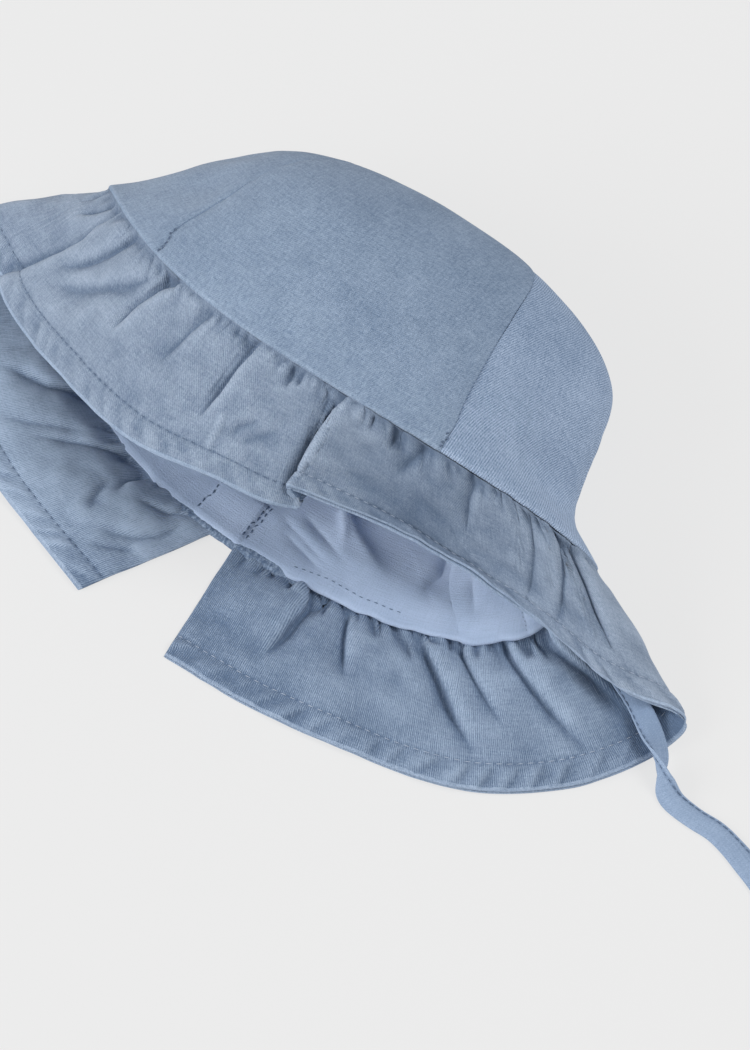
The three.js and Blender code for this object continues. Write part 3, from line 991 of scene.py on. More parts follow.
# %% [markdown]
# ## Lining
#
# The lining is a second, paler dome just inside the crown, sewn in at the brim seam, where it
# makes a small rolled lip. It shows in the opening, where it is loose, so it gets creases that the
# crown doesn't have, a plain sewn patch at the centre back and a few lines of dark stitches. The
# creases are drawn as lines on the flat cloth: sculpting would do, but lines can be read again.

# %% Lining
LINING_DEPTH = 2.2
LINING_WALL = 1.0
LINING_LIP = 1.4
LINING_ROWS = 110
LINING_COLUMNS = 430
LINING_ROUND = 520
LINING_SEAM = 1.205
LINING_RAISED = 1.6
LINING_LOOSE, LINING_FINE = 0.7, 0.3
OPENING_FROM, OPENING_TO = 0.235, 0.265
CROWDED_AT, CROWDED_REACH = 1.08, 0.13
PATCH_FROM, PATCH_TO, PATCH_TALL = 0.974, 1.009, 15.0
PATCH_EDGE = 0.002
STITCH_START = 0.4
# Each crease: height, soft and steep flank, the steep side, then its places: share round and mm up
LINING_CREASES = [
    (1.7, 5.0, 3.0, 1, [(1.050, 31), (1.073, 21.5), (1.096, 15), (1.112, 12)]),
    (1.1, 2.0, 1.6, -1, [(1.053, 29), (1.066, 21), (1.073, 14)]),
    (-1.5, 5.0, 2.0, -1, [(1.139, 30), (1.142, 20), (1.135, 14), (1.128, 12)]),
    (-1.0, 2.2, 1.2, 1, [(1.018, 14.5), (1.045, 11.5), (1.074, 7)]),
    (-0.8, 1.8, 1.0, 1, [(1.026, 10.5), (1.048, 8), (1.070, 4.5)]),
    (-0.9, 2.4, 1.4, 1, [(1.030, 19), (1.056, 15.5), (1.084, 10)]),
    (-0.8, 3.0, 2.0, -1, [(1.168, 22), (1.172, 12), (1.170, 5)]),
    (-0.7, 3.0, 2.0, 1, [(0.955, 22), (0.962, 12), (0.950, 4)]),
]
# Each line: stitch length, pitch and radius, then its places: share round and mm up
LINING_STITCHES = [
    (2.1, 2.3, 0.30, [(0.974, 1.5), (0.975, 14)]),
    (2.1, 2.4, 0.30, [(1.0075, 2), (1.0095, 16)]),
    (1.8, 2.4, 0.24, [(1.0105, 2), (1.0125, 16)]),
    (1.6, 2.6, 0.16, [(1.046, 2.6), (1.071, 3.8), (1.093, 3.2), (1.122, 3.2)]),
    (0.7, 1.5, 0.10, [(1.205, 0.5), (1.205, 16)]),
]


def lining_depth(around, round_run, up_run, open_side):
    """How far in the lining lies from the plain crown, and where the sewn patch is."""
    creases, _ = crease_height(
        around * LINING_ROUND, up_run, flat_lines(LINING_CREASES, LINING_ROUND, 1)
    )
    loose = LINING_LOOSE * ripple(round_run + 400, up_run * 1.6, 22.0, 21)
    loose = loose + LINING_FINE * ripple(round_run, up_run, 7.0, 22)
    in_patch = ease(around, PATCH_FROM, PATCH_FROM + PATCH_EDGE)
    in_patch = in_patch * (1 - ease(around, PATCH_TO - PATCH_EDGE, PATCH_TO))
    in_patch = in_patch * (1 - ease(up_run, PATCH_TALL - 1, PATCH_TALL))
    back = ease(0.5 - np.abs(around - 1), 0, 0.05)
    seam = 0.4 * close_to((around - LINING_SEAM) * LINING_ROUND, 0, 0.8)
    rolled = (1.1 * open_side - 0.5 * (1 - open_side)) * (1 - ease(up_run, 0, 1.3))
    lifted = ease(up_run, 2.0, 14.0) * (LINING_RAISED + loose * (1 - in_patch) * back)
    inward = LINING_DEPTH - rolled + lifted + creases * (1 - in_patch) + 0.5 * in_patch - seam
    return inward, in_patch


def lining_runs(inner, normal, up_run, around):
    """The lining's stitch lines, laid on its inner face."""
    runs = []
    for long, pitch, thick, line in LINING_STITCHES:
        places, ups = np.array(line).T
        run = np.linspace(0, len(line) - 1, 60)
        place = np.interp(run, np.arange(len(line)), places)
        column = np.interp(place, around, np.arange(LINING_COLUMNS))
        up = np.interp(run, np.arange(len(line)), ups)
        tops = up_run[:, np.round(column).astype(int)]
        row = [np.interp(u, tops[:, k], np.arange(LINING_ROWS)) for k, u in enumerate(up)]
        column = column + 0.7 * ripple(run * 7, 0, 1.0, 24)
        facing = -unit(grid_place(normal, row, column))
        runs.append((grid_place(inner, row, column), facing, long, pitch, thick, STITCH_START))
    return runs


def lining():
    t = np.linspace(0, 1, LINING_ROWS)
    along = (0.6 * t**2 + 0.4 * t) * APEX_END
    steps = np.linspace(0.5, 1.5, 2000)
    crowd = np.cumsum(1 + 2.0 * close_to(steps, CROWDED_AT, CROWDED_REACH))
    around = np.interp(np.linspace(crowd[0], crowd[-1], LINING_COLUMNS), crowd, steps)
    form, lengths = crown_form(around, along)
    normal = -grid_normals(form)
    normal[:, 0] = normal[:, -1] = unit(normal[:, 0] + normal[:, -1])
    up_run = run_along(form)
    round_run = (around - 1) * lengths[:, None]
    open_side = 1 - ease(np.abs(around - 1), OPENING_FROM, OPENING_TO)

    inward, in_patch = lining_depth(around, round_run, up_run, open_side)
    inward = inward + dent_depth(around % 1, along[:, None])
    lip = LINING_LIP * (1 - ease(up_run, 0, 5)) * (1 + 0.5 * ripple(round_run, 0, 5.0, 23))
    lip = lip * open_side - 0.8 * (1 - open_side)
    upward = unit(np.gradient(form, axis=0))
    points = form - normal * inward[..., None] - upward * lip[..., None]
    stay_above(points, CROWN_WALL + 0.05)
    flat = np.stack([round_run, up_run], axis=-1)
    # Painted light and shade follow the lining's creases, a painted highlight pales the rolled lip,
    # painted light lifts the shaded inside of the crown, and the sewn patch is a little paler.
    wear_and_shade = worn_and_lit(points, 8) * -0.6 + 0.9 * close_to(up_run, 0, 0.9)
    wear_and_shade = wear_and_shade + 0.5 * in_patch + 2.4 * ease(up_run, 10, 30)
    piece = sheet("lining_cloth", points, flat, cloth["lining"], wear_and_shade, merge=0.02, flip=True)
    thicken(piece, LINING_WALL)
    dress(piece, ["lining"])
    tall = up_run.mean(axis=1)
    declare_cloth(piece, lengths.max(), tall[-1], filled_share(lengths, tall))
    runs = lining_runs(points - normal * LINING_WALL, normal, up_run, around)
    stitches("lining_stitches", runs, thread["dark"])


lining()

# %% [markdown]
# ## Ruffle
#
# The ruffle is a double strip, nearly a third longer than the seam it is gathered into. The gathers
# start as sharp pinches under the crown's rolled edge and open into soft folds. A cloth
# simulation would gather it too, but not at the photograph's places, so each large fold is a line
# on the flat cloth with its depth, its two flanks and the side it leans to. Small gathers at the
# seam are scattered between them, and the sheet then settles until its threads are even.

# %% Ruffle tables
RUFFLE_WALL = 1.6
RUFFLE_GROUND = RUFFLE_WALL / 2 + 0.05
RUFFLE_SPLIT = 0.006
RUFFLE_ROUND = 600
RUFFLE_WIDTH = 48
HEM = table(
    ["around", "x", "y", "z", "rise"],
    [
        [0.006, 6, -99, 0.8, 0],
        [0.06, 37, -97, 0.8, 2],
        [0.11, 71, -91, 0.8, 2],
        [0.16, 108, -80, 0.8, 2],
        [0.20, 134, -59, 0.8, 0],
        [0.235, 148, -35, 1.2, -4],
        [0.262, 150, -22, 5, -1],
        [0.30, 126, -28.5, 13, 0],
        [0.34, 96, -26.5, 18, -5],
        [0.38, 69.5, -27.5, 22, -9],
        [0.42, 46, -33.8, 31.7, -6],
        [0.444, 27, -42, 40.2, -2],
        [0.456, 16.2, -47.2, 44.2, 0],
        [0.466, 19.6, -47.4, 36.6, 0],
        [0.478, 13, -53.5, 40, 0],
        [0.50, -4.4, -56.6, 41, 0],
        [0.56, -35.4, -60, 37, 1],
        [0.62, -70, -51.5, 28, 2],
        [0.68, -107.5, -36.5, 16, 2],
        [0.73, -148, -13, 9, 3],
        [0.765, -156, -20, 1.2, -4],
        [0.81, -141, -44, 0.8, -2],
        [0.86, -112, -66, 0.8, 2],
        [0.91, -79, -82, 0.8, 2],
        [0.95, -54, -90, 0.8, 2],
        [0.994, -30, -97, 0.8, 0],
    ],
)
# Each fold: depth, soft and steep flank, the steep side, then places as shares round and out
FOLDS = [
    (1.6, 3.0, 1.2, 1, [(0.720, 0), (0.725, 0.20), (0.730, 0.42)]),
    (1.8, 3.0, 1.2, 1, [(0.690, 0), (0.695, 0.15), (0.7035, 0.32)]),
    (3.2, 6.0, 1.6, 1, [(0.6775, 0), (0.6812, 0.17), (0.6825, 0.32), (0.6894, 0.56), (0.710, 1.4)]),
    (2.3, 4.5, 1.8, -1, [(0.644, 0), (0.6523, 0.20), (0.6616, 0.36), (0.680, 0.62)]),
    (1.8, 6.0, 2.4, -1, [(0.605, 0.06), (0.6253, 0.32), (0.6496, 0.52), (0.678, 0.74)]),
    (3.6, 5.0, 1.6, 1, [(0.5895, 0), (0.5997, 0.14), (0.6072, 0.33), (0.613, 0.60)]),
    (1.6, 5.0, 2.5, 1, [(0.557, 0), (0.5648, 0.23), (0.573, 0.55)]),
    (3.0, 7.0, 1.4, 1, [(0.5228, 0), (0.525, 0.17), (0.5268, 0.42), (0.530, 0.72)]),
    (2.0, 2.0, 1.0, 1, [(0.4958, 0), (0.494, 0.22)]),
    (1.6, 2.0, 1.0, 1, [(0.4883, 0), (0.4885, 0.16)]),
    (1.6, 2.5, 1.2, -1, [(0.438, 0), (0.4395, 0.20)]),
    (1.8, 2.5, 1.2, -1, [(0.4242, 0), (0.426, 0.22)]),
    (1.6, 5.0, 2.0, 1, [(0.3963, 0), (0.4074, 0.13), (0.423, 0.40)]),
    (1.4, 6.0, 3.0, 1, [(0.3654, 0), (0.3735, 0.21), (0.377, 0.50)]),
    (1.3, 6.0, 3.0, -1, [(0.329, 0), (0.3322, 0.34), (0.346, 0.95)]),
    (1.6, 6.0, 2.2, -1, [(0.308, 0), (0.3075, 0.12), (0.3146, 0.42), (0.330, 0.95)]),
    (2.1, 6.0, 2.2, 1, [(0.291, 0), (0.2925, 0.20), (0.2930, 0.48), (0.2925, 0.80)]),
    (1.6, 2.2, 1.0, 1, [(0.035, 0), (0.0362, 0.16)]),
    (1.6, 2.2, 1.0, -1, [(0.0502, 0), (0.0506, 0.18)]),
    (2.8, 5.0, 1.3, 1, [(0.064, 0), (0.0658, 0.23), (0.058, 0.70)]),
    (1.1, 2.5, 1.0, -1, [(0.0758, 0), (0.0765, 0.24)]),
    (2.4, 4.0, 1.2, -1, [(0.0893, 0), (0.0906, 0.12), (0.101, 0.62)]),
    (1.2, 2.5, 1.0, -1, [(0.1029, 0), (0.1068, 0.11), (0.112, 0.26)]),
    (1.4, 3.0, 1.2, -1, [(0.1179, 0), (0.1258, 0.09), (0.134, 0.32)]),
    (3.2, 6.0, 1.2, -1, [(0.132, 0), (0.1407, 0.17), (0.1484, 0.35), (0.167, 0.84)]),
    (1.0, 2.0, 1.0, -1, [(0.1386, 0), (0.1431, 0.06), (0.151, 0.12)]),
    (1.8, 4.0, 1.4, -1, [(0.1561, 0), (0.164, 0.20), (0.180, 0.66)]),
    (1.0, 2.2, 1.0, -1, [(0.169, 0), (0.172, 0.20)]),
    (2.7, 6.0, 1.6, -1, [(0.187, 0), (0.1892, 0.14), (0.1956, 0.36), (0.212, 0.88)]),
    (1.2, 2.5, 1.2, -1, [(0.199, 0), (0.204, 0.22)]),
    (2.7, 6.0, 1.6, -1, [(0.2105, 0), (0.2148, 0.15), (0.2276, 0.40), (0.243, 0.86)]),
    (2.2, 6.0, 1.8, 1, [(0.872, 0.03), (0.8668, 0.33), (0.8616, 0.40), (0.849, 0.62)]),
    (1.1, 5.0, 2.5, 1, [(0.903, 0.20), (0.8946, 0.38), (0.880, 0.78)]),
    (1.4, 5.0, 1.6, 1, [(0.9234, 0), (0.9132, 0.19), (0.9022, 0.43), (0.893, 0.66)]),
    (1.2, 3.5, 2.0, 1, [(0.9340, 0.30), (0.9400, 0.43), (0.9445, 0.52), (0.953, 0.62)]),
    (1.6, 4.5, 2.2, 1, [(0.9804, 0.12), (0.9817, 0.34), (0.9772, 0.47), (0.9702, 0.56), (0.958, 0.66)]),
    (0.9, 3.0, 1.6, -1, [(0.9870, 0.52), (0.9765, 0.68), (0.968, 0.76)]),
    (1.6, 5.0, 1.8, -1, [(0.9393, 0.02), (0.9400, 0.23), (0.948, 0.40)]),
    (1.0, 2.2, 1.2, 1, [(0.9821, 0), (0.9711, 0.17), (0.9607, 0.24), (0.951, 0.30)]),
    (-0.8, 2.5, 2.5, 1, [(0.987, 0), (0.9778, 0.07), (0.968, 0.24)]),
    (-0.8, 1.6, 1.2, 1, [(0.5165, 0.54), (0.5148, 0.72), (0.513, 0.88)]),
    (0.8, 3.0, 1.4, 1, [(0.5082, 0.69), (0.5038, 0.58), (0.494, 0.46)]),
    (0.6, 2.5, 1.4, 1, [(0.501, 0.72), (0.4909, 0.56), (0.484, 0.46)]),
]
PLEAT = (
    4.5, 7.0, 1.0, 1,
    [(0.4568, 0), (0.4605, 0.23), (0.4640, 0.52), (0.4655, 0.80), (0.466, 1.0)],
)
print("ruffle sections:", len(HEM["x"]), "folds:", len(FOLDS))

# %% Ruffle form
RUFFLE_START_DEPTH = 1.45
RUFFLE_TUCK = 0.6
FRONT_DEEPER = 0.3
RIGHT_SHALLOWER = 0.2
SEAM_UNEVEN = 0.25
SIDE_FLUSH = 0.3
SIDE_AT, SIDE_REACH = 0.275, 0.02


def lower_share(around):
    """1 where the ruffle lies on the ground with its inner face up, 0 in front."""
    return 1 - ease(around, 0.215, 0.25) + ease(around, 0.75, 0.785)


def right_half(around):
    return 1 - ease(around, 0.4, 0.6)


def from_split(around):
    """Millimetres of seam from the split at the centre back."""
    return np.minimum(around, 1 - around) * RUFFLE_ROUND


def ruffle_form(around, out):
    """The ruffle's plain middle surface: rows from the seam to the hem, columns round the hat."""
    (edge, inner), _ = crown_form(around, [0.0, EDGE_STEP])
    up = unit(inner - edge)
    ahead = crown_form(around + EDGE_STEP, [0.0])[0][0]
    behind = crown_form(around - EDGE_STEP, [0.0])[0][0]
    normal = unit(np.cross(up, ahead - behind))
    right = 1 - ease(around, 0.40, 0.50)
    uneven = SEAM_UNEVEN * ripple(around * RUFFLE_ROUND, 0, 4.5, 37) - RIGHT_SHALLOWER
    uneven = uneven * right * ease(around, 0.305, 0.335)
    flush = SIDE_FLUSH * close_to(around, SIDE_AT, SIDE_REACH)
    deeper = (FRONT_DEEPER * (1 - right) + uneven - flush) * (1 - lower_share(around))
    start = edge - normal * (RUFFLE_START_DEPTH + deeper)[:, None] + up * RUFFLE_TUCK
    hem = smooth(HEM, around)
    share = out[:, None]
    points = start + (xyz(hem) - start) * share[..., None]
    points[..., 2] += hem["rise"] * 4 * share * (1 - share)
    return points


print("ruffle form ready, wall in mm:", RUFFLE_WALL)

# %% Gathers and folds
GATHERS = 110
GATHER_SEED = 31
FINE_GATHERS = 190
FINE_SEED = 35
GATHERS_FROM, GATHERS_TO = 0.012, 0.988
GATHERS_OPEN = (-0.005, 0.07)
FOLD_GAIN = 1.1
# Each set of waves: height, size and seed
RUFFLE_WAVES = [(0.9, 19.0, 32), (0.45, 7.5, 33), (0.15, 3.6, 34)]
LOWER_PUFF = 2.4
PUFF_START = 0.32
PUFF_FROM_SPLIT = 30


def gathers(around, share):
    """Many small gathers at the seam, which open and fade within the first part of the ruffle."""
    rng = np.random.default_rng(GATHER_SEED)
    depth = 0
    for place in np.linspace(GATHERS_FROM, GATHERS_TO, GATHERS):
        middle = place + rng.uniform(-0.003, 0.003) + rng.uniform(-0.02, 0.02) * share
        reach = rng.uniform(0.08, 0.30)
        width = rng.uniform(1.0, 1.7) + rng.uniform(2.0, 5.0) * share
        deep = rng.uniform(0.3, 1.0) * (1 - ease(share, reach * 0.3, reach))
        depth = depth + deep * close_to((around - middle) * RUFFLE_ROUND, 0, width)
    return depth


def fine_gathers(around, share):
    """Short sharp pinches right at the seam."""
    rng = np.random.default_rng(FINE_SEED)
    depth = 0
    for place in np.linspace(GATHERS_FROM, GATHERS_TO, FINE_GATHERS):
        reach = rng.uniform(0.07, 0.30)
        middle = place + rng.uniform(-0.0025, 0.0025) + rng.uniform(-0.05, 0.05) * share
        width = rng.uniform(0.6, 1.1) + 5.0 * share
        deep = rng.uniform(0.2, 1.0) * (1 - ease(share, reach * 0.2, reach))
        depth = depth + deep * np.exp(-np.abs(around - middle) * RUFFLE_ROUND / width)
    return depth


def fold_height(around, share):
    """Height and sideways push of the large folds, the gathers, the puff and the waves."""
    u, v = around * RUFFLE_ROUND, share * RUFFLE_WIDTH
    depth, shift = crease_height(u, v, flat_lines(FOLDS, RUFFLE_ROUND, RUFFLE_WIDTH))
    opened = ease(share, *GATHERS_OPEN)
    depth = (depth * FOLD_GAIN + gathers(around, share)) * opened
    puff = LOWER_PUFF * lower_share(around) * ease(share, 0.0, PUFF_START)
    puff = puff * (1 - 0.8 * ease(share, 0.3, 1.0)) * ease(from_split(around), 0, PUFF_FROM_SPLIT)
    waves = sum(size * ripple(u, v, wide, seed) for size, wide, seed in RUFFLE_WAVES)
    return puff - depth + waves * ease(share, 0.05, 0.35), shift * opened


print("small gathers:", GATHERS, "and fine ones:", FINE_GATHERS)

# %% Pinches and the front pleat
CRISP = 0.3
CRISP_SOFT, CRISP_STEEP = 0.5, 0.8
HEM_WOBBLE = 0.25
TIP_WOBBLE = 1.2
WOBBLE_AT, WOBBLE_REACH = 0.285, 0.03
FINE_ON_LOWER = 1.2
TIP_AROUND, TIP_REACH = 0.262, 0.008
TURN_ROUNDS = 24
PLEAT_AROUND = 0.457
PLEAT_TOP_AT, PLEAT_TOP_REACH = 0.461, 0.006
BESIDE_PLEAT = 0.44
PLEAT_UNDER = 1.3
UNDER_AT, UNDER_REACH = 0.462, 0.004
UNDER_OUT, UNDER_OUT_REACH = 0.36, 0.12


def pinch_height(around, share):
    """Height of the fine pinches, the crisp fold lines, the pleat and the hem's wobble.

    The pleat's own depth and its sideways push come with it.
    """
    u, v = around * RUFFLE_ROUND, share * RUFFLE_WIDTH
    narrow = [
        (size * CRISP, soft * CRISP_SOFT, steep * CRISP_STEEP, side, line)
        for size, soft, steep, side, line in flat_lines(FOLDS, RUFFLE_ROUND, RUFFLE_WIDTH)
    ]
    crisp, _ = crease_height(u, v, narrow)
    pleat, lean = crease_height(u, v, flat_lines([PLEAT], RUFFLE_ROUND, RUFFLE_WIDTH))
    wobble = HEM_WOBBLE + TIP_WOBBLE * close_to(around, WOBBLE_AT, WOBBLE_REACH)
    wobble = wobble * ripple(u, 0, 5.0, 36) * ease(share, 0.8, 1.0)
    fine = fine_gathers(around, share) * ease(from_split(around), 2, 12) * ease(share, -0.005, 0.03)
    fine = fine * (1 + FINE_ON_LOWER * lower_share(around) * right_half(around))
    fine = fine * (1 - close_to(around, PLEAT_TOP_AT, PLEAT_TOP_REACH))
    pleat_opens = 0.25 * ease(share, -0.005, 0.02) + 0.75 * ease(share, 0.0, 0.14)
    depth = fine + crisp * ease(share, *GATHERS_OPEN) + pleat * pleat_opens
    return wobble - depth, pleat, lean


def smooth_turns(points, around, share):
    """Even out the columns where the cloth turns sharply: at the right tip and the pleat's top."""
    pleat_top = close_to(around, PLEAT_TOP_AT, PLEAT_TOP_REACH) * (1 - ease(share, 0.06, 0.18))
    turned = 0.5 * (close_to(around, TIP_AROUND, TIP_REACH) + pleat_top)[:, 1:-1, None]
    for _ in range(TURN_ROUNDS):
        between = (points[:, :-2] + points[:, 2:]) / 2
        points[:, 1:-1] += turned * (between - points[:, 1:-1])


def tuck_under(points, normal, around, share):
    """Push the layer that the pleat folds under a little deeper, below the sheet beside it."""
    beside = normal[:, np.searchsorted(around, BESIDE_PLEAT)][:, None]
    under = np.clip(-np.sum(grid_normals(points) * beside, axis=-1), 0, 1)
    under = under * close_to(around, UNDER_AT, UNDER_REACH)
    under = under * close_to(share, UNDER_OUT, UNDER_OUT_REACH)
    return points - beside * (PLEAT_UNDER * under)[..., None]


print("pleat at", PLEAT_AROUND, "of the way round")

# %% Settled ruffle
SETTLE_ROUNDS = 120
HOLD_FREE = 0.008
HOLD_HEM = 0.12
HOLD_SPLIT = 0.2
HOLD_SEAM = 1.0
SPLIT_COLUMNS = 3


def cut_places(form, points, share):
    """Places on the flat cut cloth: as long round as the folds need, and even elsewhere."""
    seam_run, hem_run = run_along(form[0]), run_along(form[-1])
    even = seam_run * (1 - share) + hem_run * share
    folded = np.linalg.norm(np.diff(points, axis=1), axis=-1)
    cut_round = np.cumsum(np.maximum(folded, np.diff(even, axis=1)), axis=1)
    cut_round = np.concatenate([0 * share, cut_round], axis=1)
    print("hem in mm:", round(hem_run[-1]), "seam", round(seam_run[-1]))
    return np.stack([cut_round, run_along(points)], axis=-1)


def ruffle_middle(around, out):
    """The ruffle's settled middle surface, its flat cut places and the pleat's depth."""
    form = ruffle_form(around, out)
    normal = grid_normals(form)
    tangent = unit(np.gradient(form, axis=1))
    facing = (1 - 2 * lower_share(around))[None, :, None]
    share = out[:, None]
    height, shift = fold_height(around, share)
    points = form + normal * facing * height[..., None] + tangent * shift[..., None]
    stay_above(points, RUFFLE_GROUND)

    flat = cut_places(form, points, share)
    hold = np.full(points.shape[:2], HOLD_FREE)
    hold[-1] = HOLD_HEM
    hold[:, :SPLIT_COLUMNS] = hold[:, -SPLIT_COLUMNS:] = HOLD_SPLIT
    hold[0] = HOLD_SEAM
    loose = np.broadcast_to(ease(share, -0.02, 0.09), hold.shape)
    settled = settle(points, flat, hold, loose, SETTLE_ROUNDS, RUFFLE_GROUND)

    height, pleat, lean = pinch_height(around, share)
    settled = settled + grid_normals(settled) * facing * height[..., None] + tangent * lean[..., None]
    smooth_turns(settled, around, share)
    settled = tuck_under(settled, normal, around, share)
    return settled, flat, np.maximum(pleat, 0)


print("rounds to settle:", SETTLE_ROUNDS)

# %% [markdown]
# ## Seam behind the split
#
# Where the ruffle is open at the centre back, the overlocked seam that holds it shows as a rough
# narrow band with short threads across it. A bump texture would look flat from the side, so the
# band is a sheet of its own and each thread is a small mesh.

# %% Seam behind the split
BAND_FROM, BAND_TO = -0.055, 0.055
BAND_END = 0.02
BAND_TUCK = 1.0
BAND_WIDTH = 3.4
BAND_ROWS = 10
BAND_COLUMNS = 300
BAND_DEPTH = 2.0
BAND_WALL = 0.8
BAND_THREADS = 90
BAND_DARKER = 1.2
BAND_SEED = 54
THREAD_POINTS = 6
THREAD_SLANT = 6
THREAD_RADIUS = 0.08
ONE_STITCH = 99.0


def seam_band():
    """The overlocked seam that shows on both sides of the split and joins the ruffle's two ends."""
    around = np.linspace(BAND_FROM, BAND_TO, BAND_COLUMNS)
    (edge, inner), lengths = crown_form(around % 1, [0.0, EDGE_STEP])
    up = unit(inner - edge)
    ahead = unit(np.gradient(edge, axis=0))
    normal = unit(np.cross(up, ahead))
    u = around * lengths[0]
    across = np.linspace(-BAND_TUCK, BAND_WIDTH, BAND_ROWS)[:, None]
    ends = ease(np.abs(around), BAND_TO, BAND_TO - BAND_END)
    rough = 0.10 * ripple(u, across, 0.8, 51) + 0.07 * ripple(u, across, 3.0, 52)
    lower_edge = ease(across, BAND_WIDTH - 1.2, BAND_WIDTH)
    depth = BAND_DEPTH + rough - 1.1 * lower_edge - 1.2 * (1 - ends)
    wide = across * (1 + 0.05 * ripple(u, 0, 2.5, 53))
    points = edge - normal * depth[..., None] - up * wide[..., None]
    stay_above(points, BAND_WALL + 0.05)
    flat = np.stack(np.broadcast_arrays(u, across), axis=-1)
    band = sheet("seam_band", points, flat, cloth["band"], rough * 4 - BAND_DARKER)
    thicken(band, BAND_WALL)
    dress(band, ())

    rng = np.random.default_rng(BAND_SEED)
    face = grid_normals(points)
    face = face * np.sign(face[..., 2:])
    runs = []
    for k in range(BAND_THREADS):
        place = (k + rng.uniform(0.2, 0.8)) / BAND_THREADS * (BAND_COLUMNS - 2 * THREAD_SLANT)
        low = rng.uniform(1.5, BAND_ROWS - 4.5)
        row = np.linspace(low, low + rng.uniform(0.5, 2.5), THREAD_POINTS)
        slant = np.linspace(0, rng.uniform(-THREAD_SLANT, THREAD_SLANT), THREAD_POINTS)
        column = np.clip(place + slant + THREAD_SLANT, 0, BAND_COLUMNS - 2)
        path = grid_place(points, row, column)
        reach = np.linalg.norm(path[-1] - path[0]) * 0.9
        runs.append((path, grid_place(face, row, column), reach, ONE_STITCH, THREAD_RADIUS, 0.0))
    return [band, stitches("overlock_threads", runs, thread["soft"])]


print("threads over the seam:", BAND_THREADS)

# %% [markdown]
# ## Ruffle hem
#
# The two layers are sewn together at the hem and turned, so the edge shows two rounded lips with
# a slit between them. One sheet makes both layers: it runs down the outer face, round the first
# lip, into the slit, round the second lip and back up the inner face.

# %% Ruffle hem
HEM_STITCH = 8.0
STITCH_GROOVE = 0.42
STITCH_PITCH = 3.3
PUCKER_PITCH = 9.5
PUCKER_FALLS = 0.84
LIP_RADIUS = 0.38
LIP_STEPS = 6
SLIT_DEPTH = 1.4
SLIT_HALF = 0.14
SLIT_ROWS = 3
END_RADIUS = 1.2
FACE_ROWS = 34


def ruffle_rows():
    """Shares of the way out for one face: close at the seam, at the stitch line and at the hem."""
    stitch = 1 - HEM_STITCH / RUFFLE_WIDTH
    body = np.linspace(0, 1, FACE_ROWS) ** 1.25 * (stitch - 0.05)
    band = stitch + np.array([-0.03, -0.015, 0.0, 0.015, 0.03, 0.06, 0.09, 0.12, 0.145])
    return np.concatenate([body, band]), len(body) + 2


def end_rounding(around):
    """The wall's share at the split, where both ends are rounded, and 1 elsewhere."""
    end_run = np.minimum(around - RUFFLE_SPLIT, 1 - RUFFLE_SPLIT - around) * RUFFLE_ROUND
    rounded = np.sqrt(np.clip(1 - (1 - end_run / END_RADIUS) ** 2, 0.02, 1))
    return np.where(end_run < END_RADIUS, rounded, 1)


def hem_relief(u, from_stitch):
    """How far the hem band puffs out, its slanted puckers and the dimples of its stitch line, and the
    painted shade in those dimples.
    """
    hole = 0.5 + 0.5 * np.cos(2 * np.pi * u / STITCH_PITCH)
    groove = STITCH_GROOVE * (0.5 + 0.7 * hole**2) * close_to(from_stitch, 0, 0.55)
    band = ease(from_stitch, 0.0, 2.5) * (1 - 0.6 * ease(from_stitch, 5.0, 8.0))
    phase = (u + from_stitch + 5 * ripple(u, 0, 17.0, 42)) / PUCKER_PITCH % 1
    saw = ease(phase, 0.0, PUCKER_FALLS) - ease(phase, PUCKER_FALLS, 1.0) - 0.5
    saw = saw * (1.2 + 0.8 * ripple(u, 0, 23.0, 43))
    slant = (saw + 0.35 * ripple(u, from_stitch, 4.0, 41)) * band
    puffed = 0.2 * ease(from_stitch, 0.0, 3.0) + 0.25 * band
    dimple_shade = 1.3 * close_to(from_stitch, 0, 0.5) * (0.25 + 0.75 * hole**2)
    return puffed - groove, slant, dimple_shade


def hem_lips(middle, normal, around, end_round):
    """Rows of the two rounded lips at the hem, with the slit's bottom between them."""
    hem, up = middle[-1], normal[-1]
    outward = unit(middle[-1] - middle[-2])
    lower = lower_share(around)
    right_front = ease(around, 0.255, 0.285) * (1 - ease(around, 0.45, 0.47))
    longer = {1: 0.35 * lower, -1: (0.2 + 0.7 * right_front) * (1 - lower)}
    lips = {1: [], -1: []}
    for side, lip in lips.items():
        for a in np.radians(np.linspace(90, -90, LIP_STEPS + 1)):
            away = LIP_RADIUS * (np.cos(a) - 1) + longer[side] * np.cos(a)
            rise = side * (SLIT_HALF + LIP_RADIUS * (1 + np.sin(a))) * end_round
            lip.append(hem + outward * away[:, None] + up * rise[:, None])
    return [*lips[1], hem - outward * SLIT_DEPTH, *lips[-1][::-1]]


print("lip rows:", 2 * (LIP_STEPS + 1) + 1)

# %% Ruffle wear and painted shade
PLEAT_SHADE = 0.09
SEAM_SHADE = 0.5
SEAM_SHADE_REACH = 1.8
RIGHT_FRONT_SHADE = 0.9
RIGHT_FRONT_SHADE_AT, RIGHT_FRONT_SHADE_REACH = 0.405, 0.025
LOWER_RIGHT_SHADE = 0.55
TIP_SHADE = 2.2
LEFT_LIGHT = 0.9
TIP_LIGHT = 0.5
PALER_LIP = 0.9
CREASE_SHADE_REACH = 14


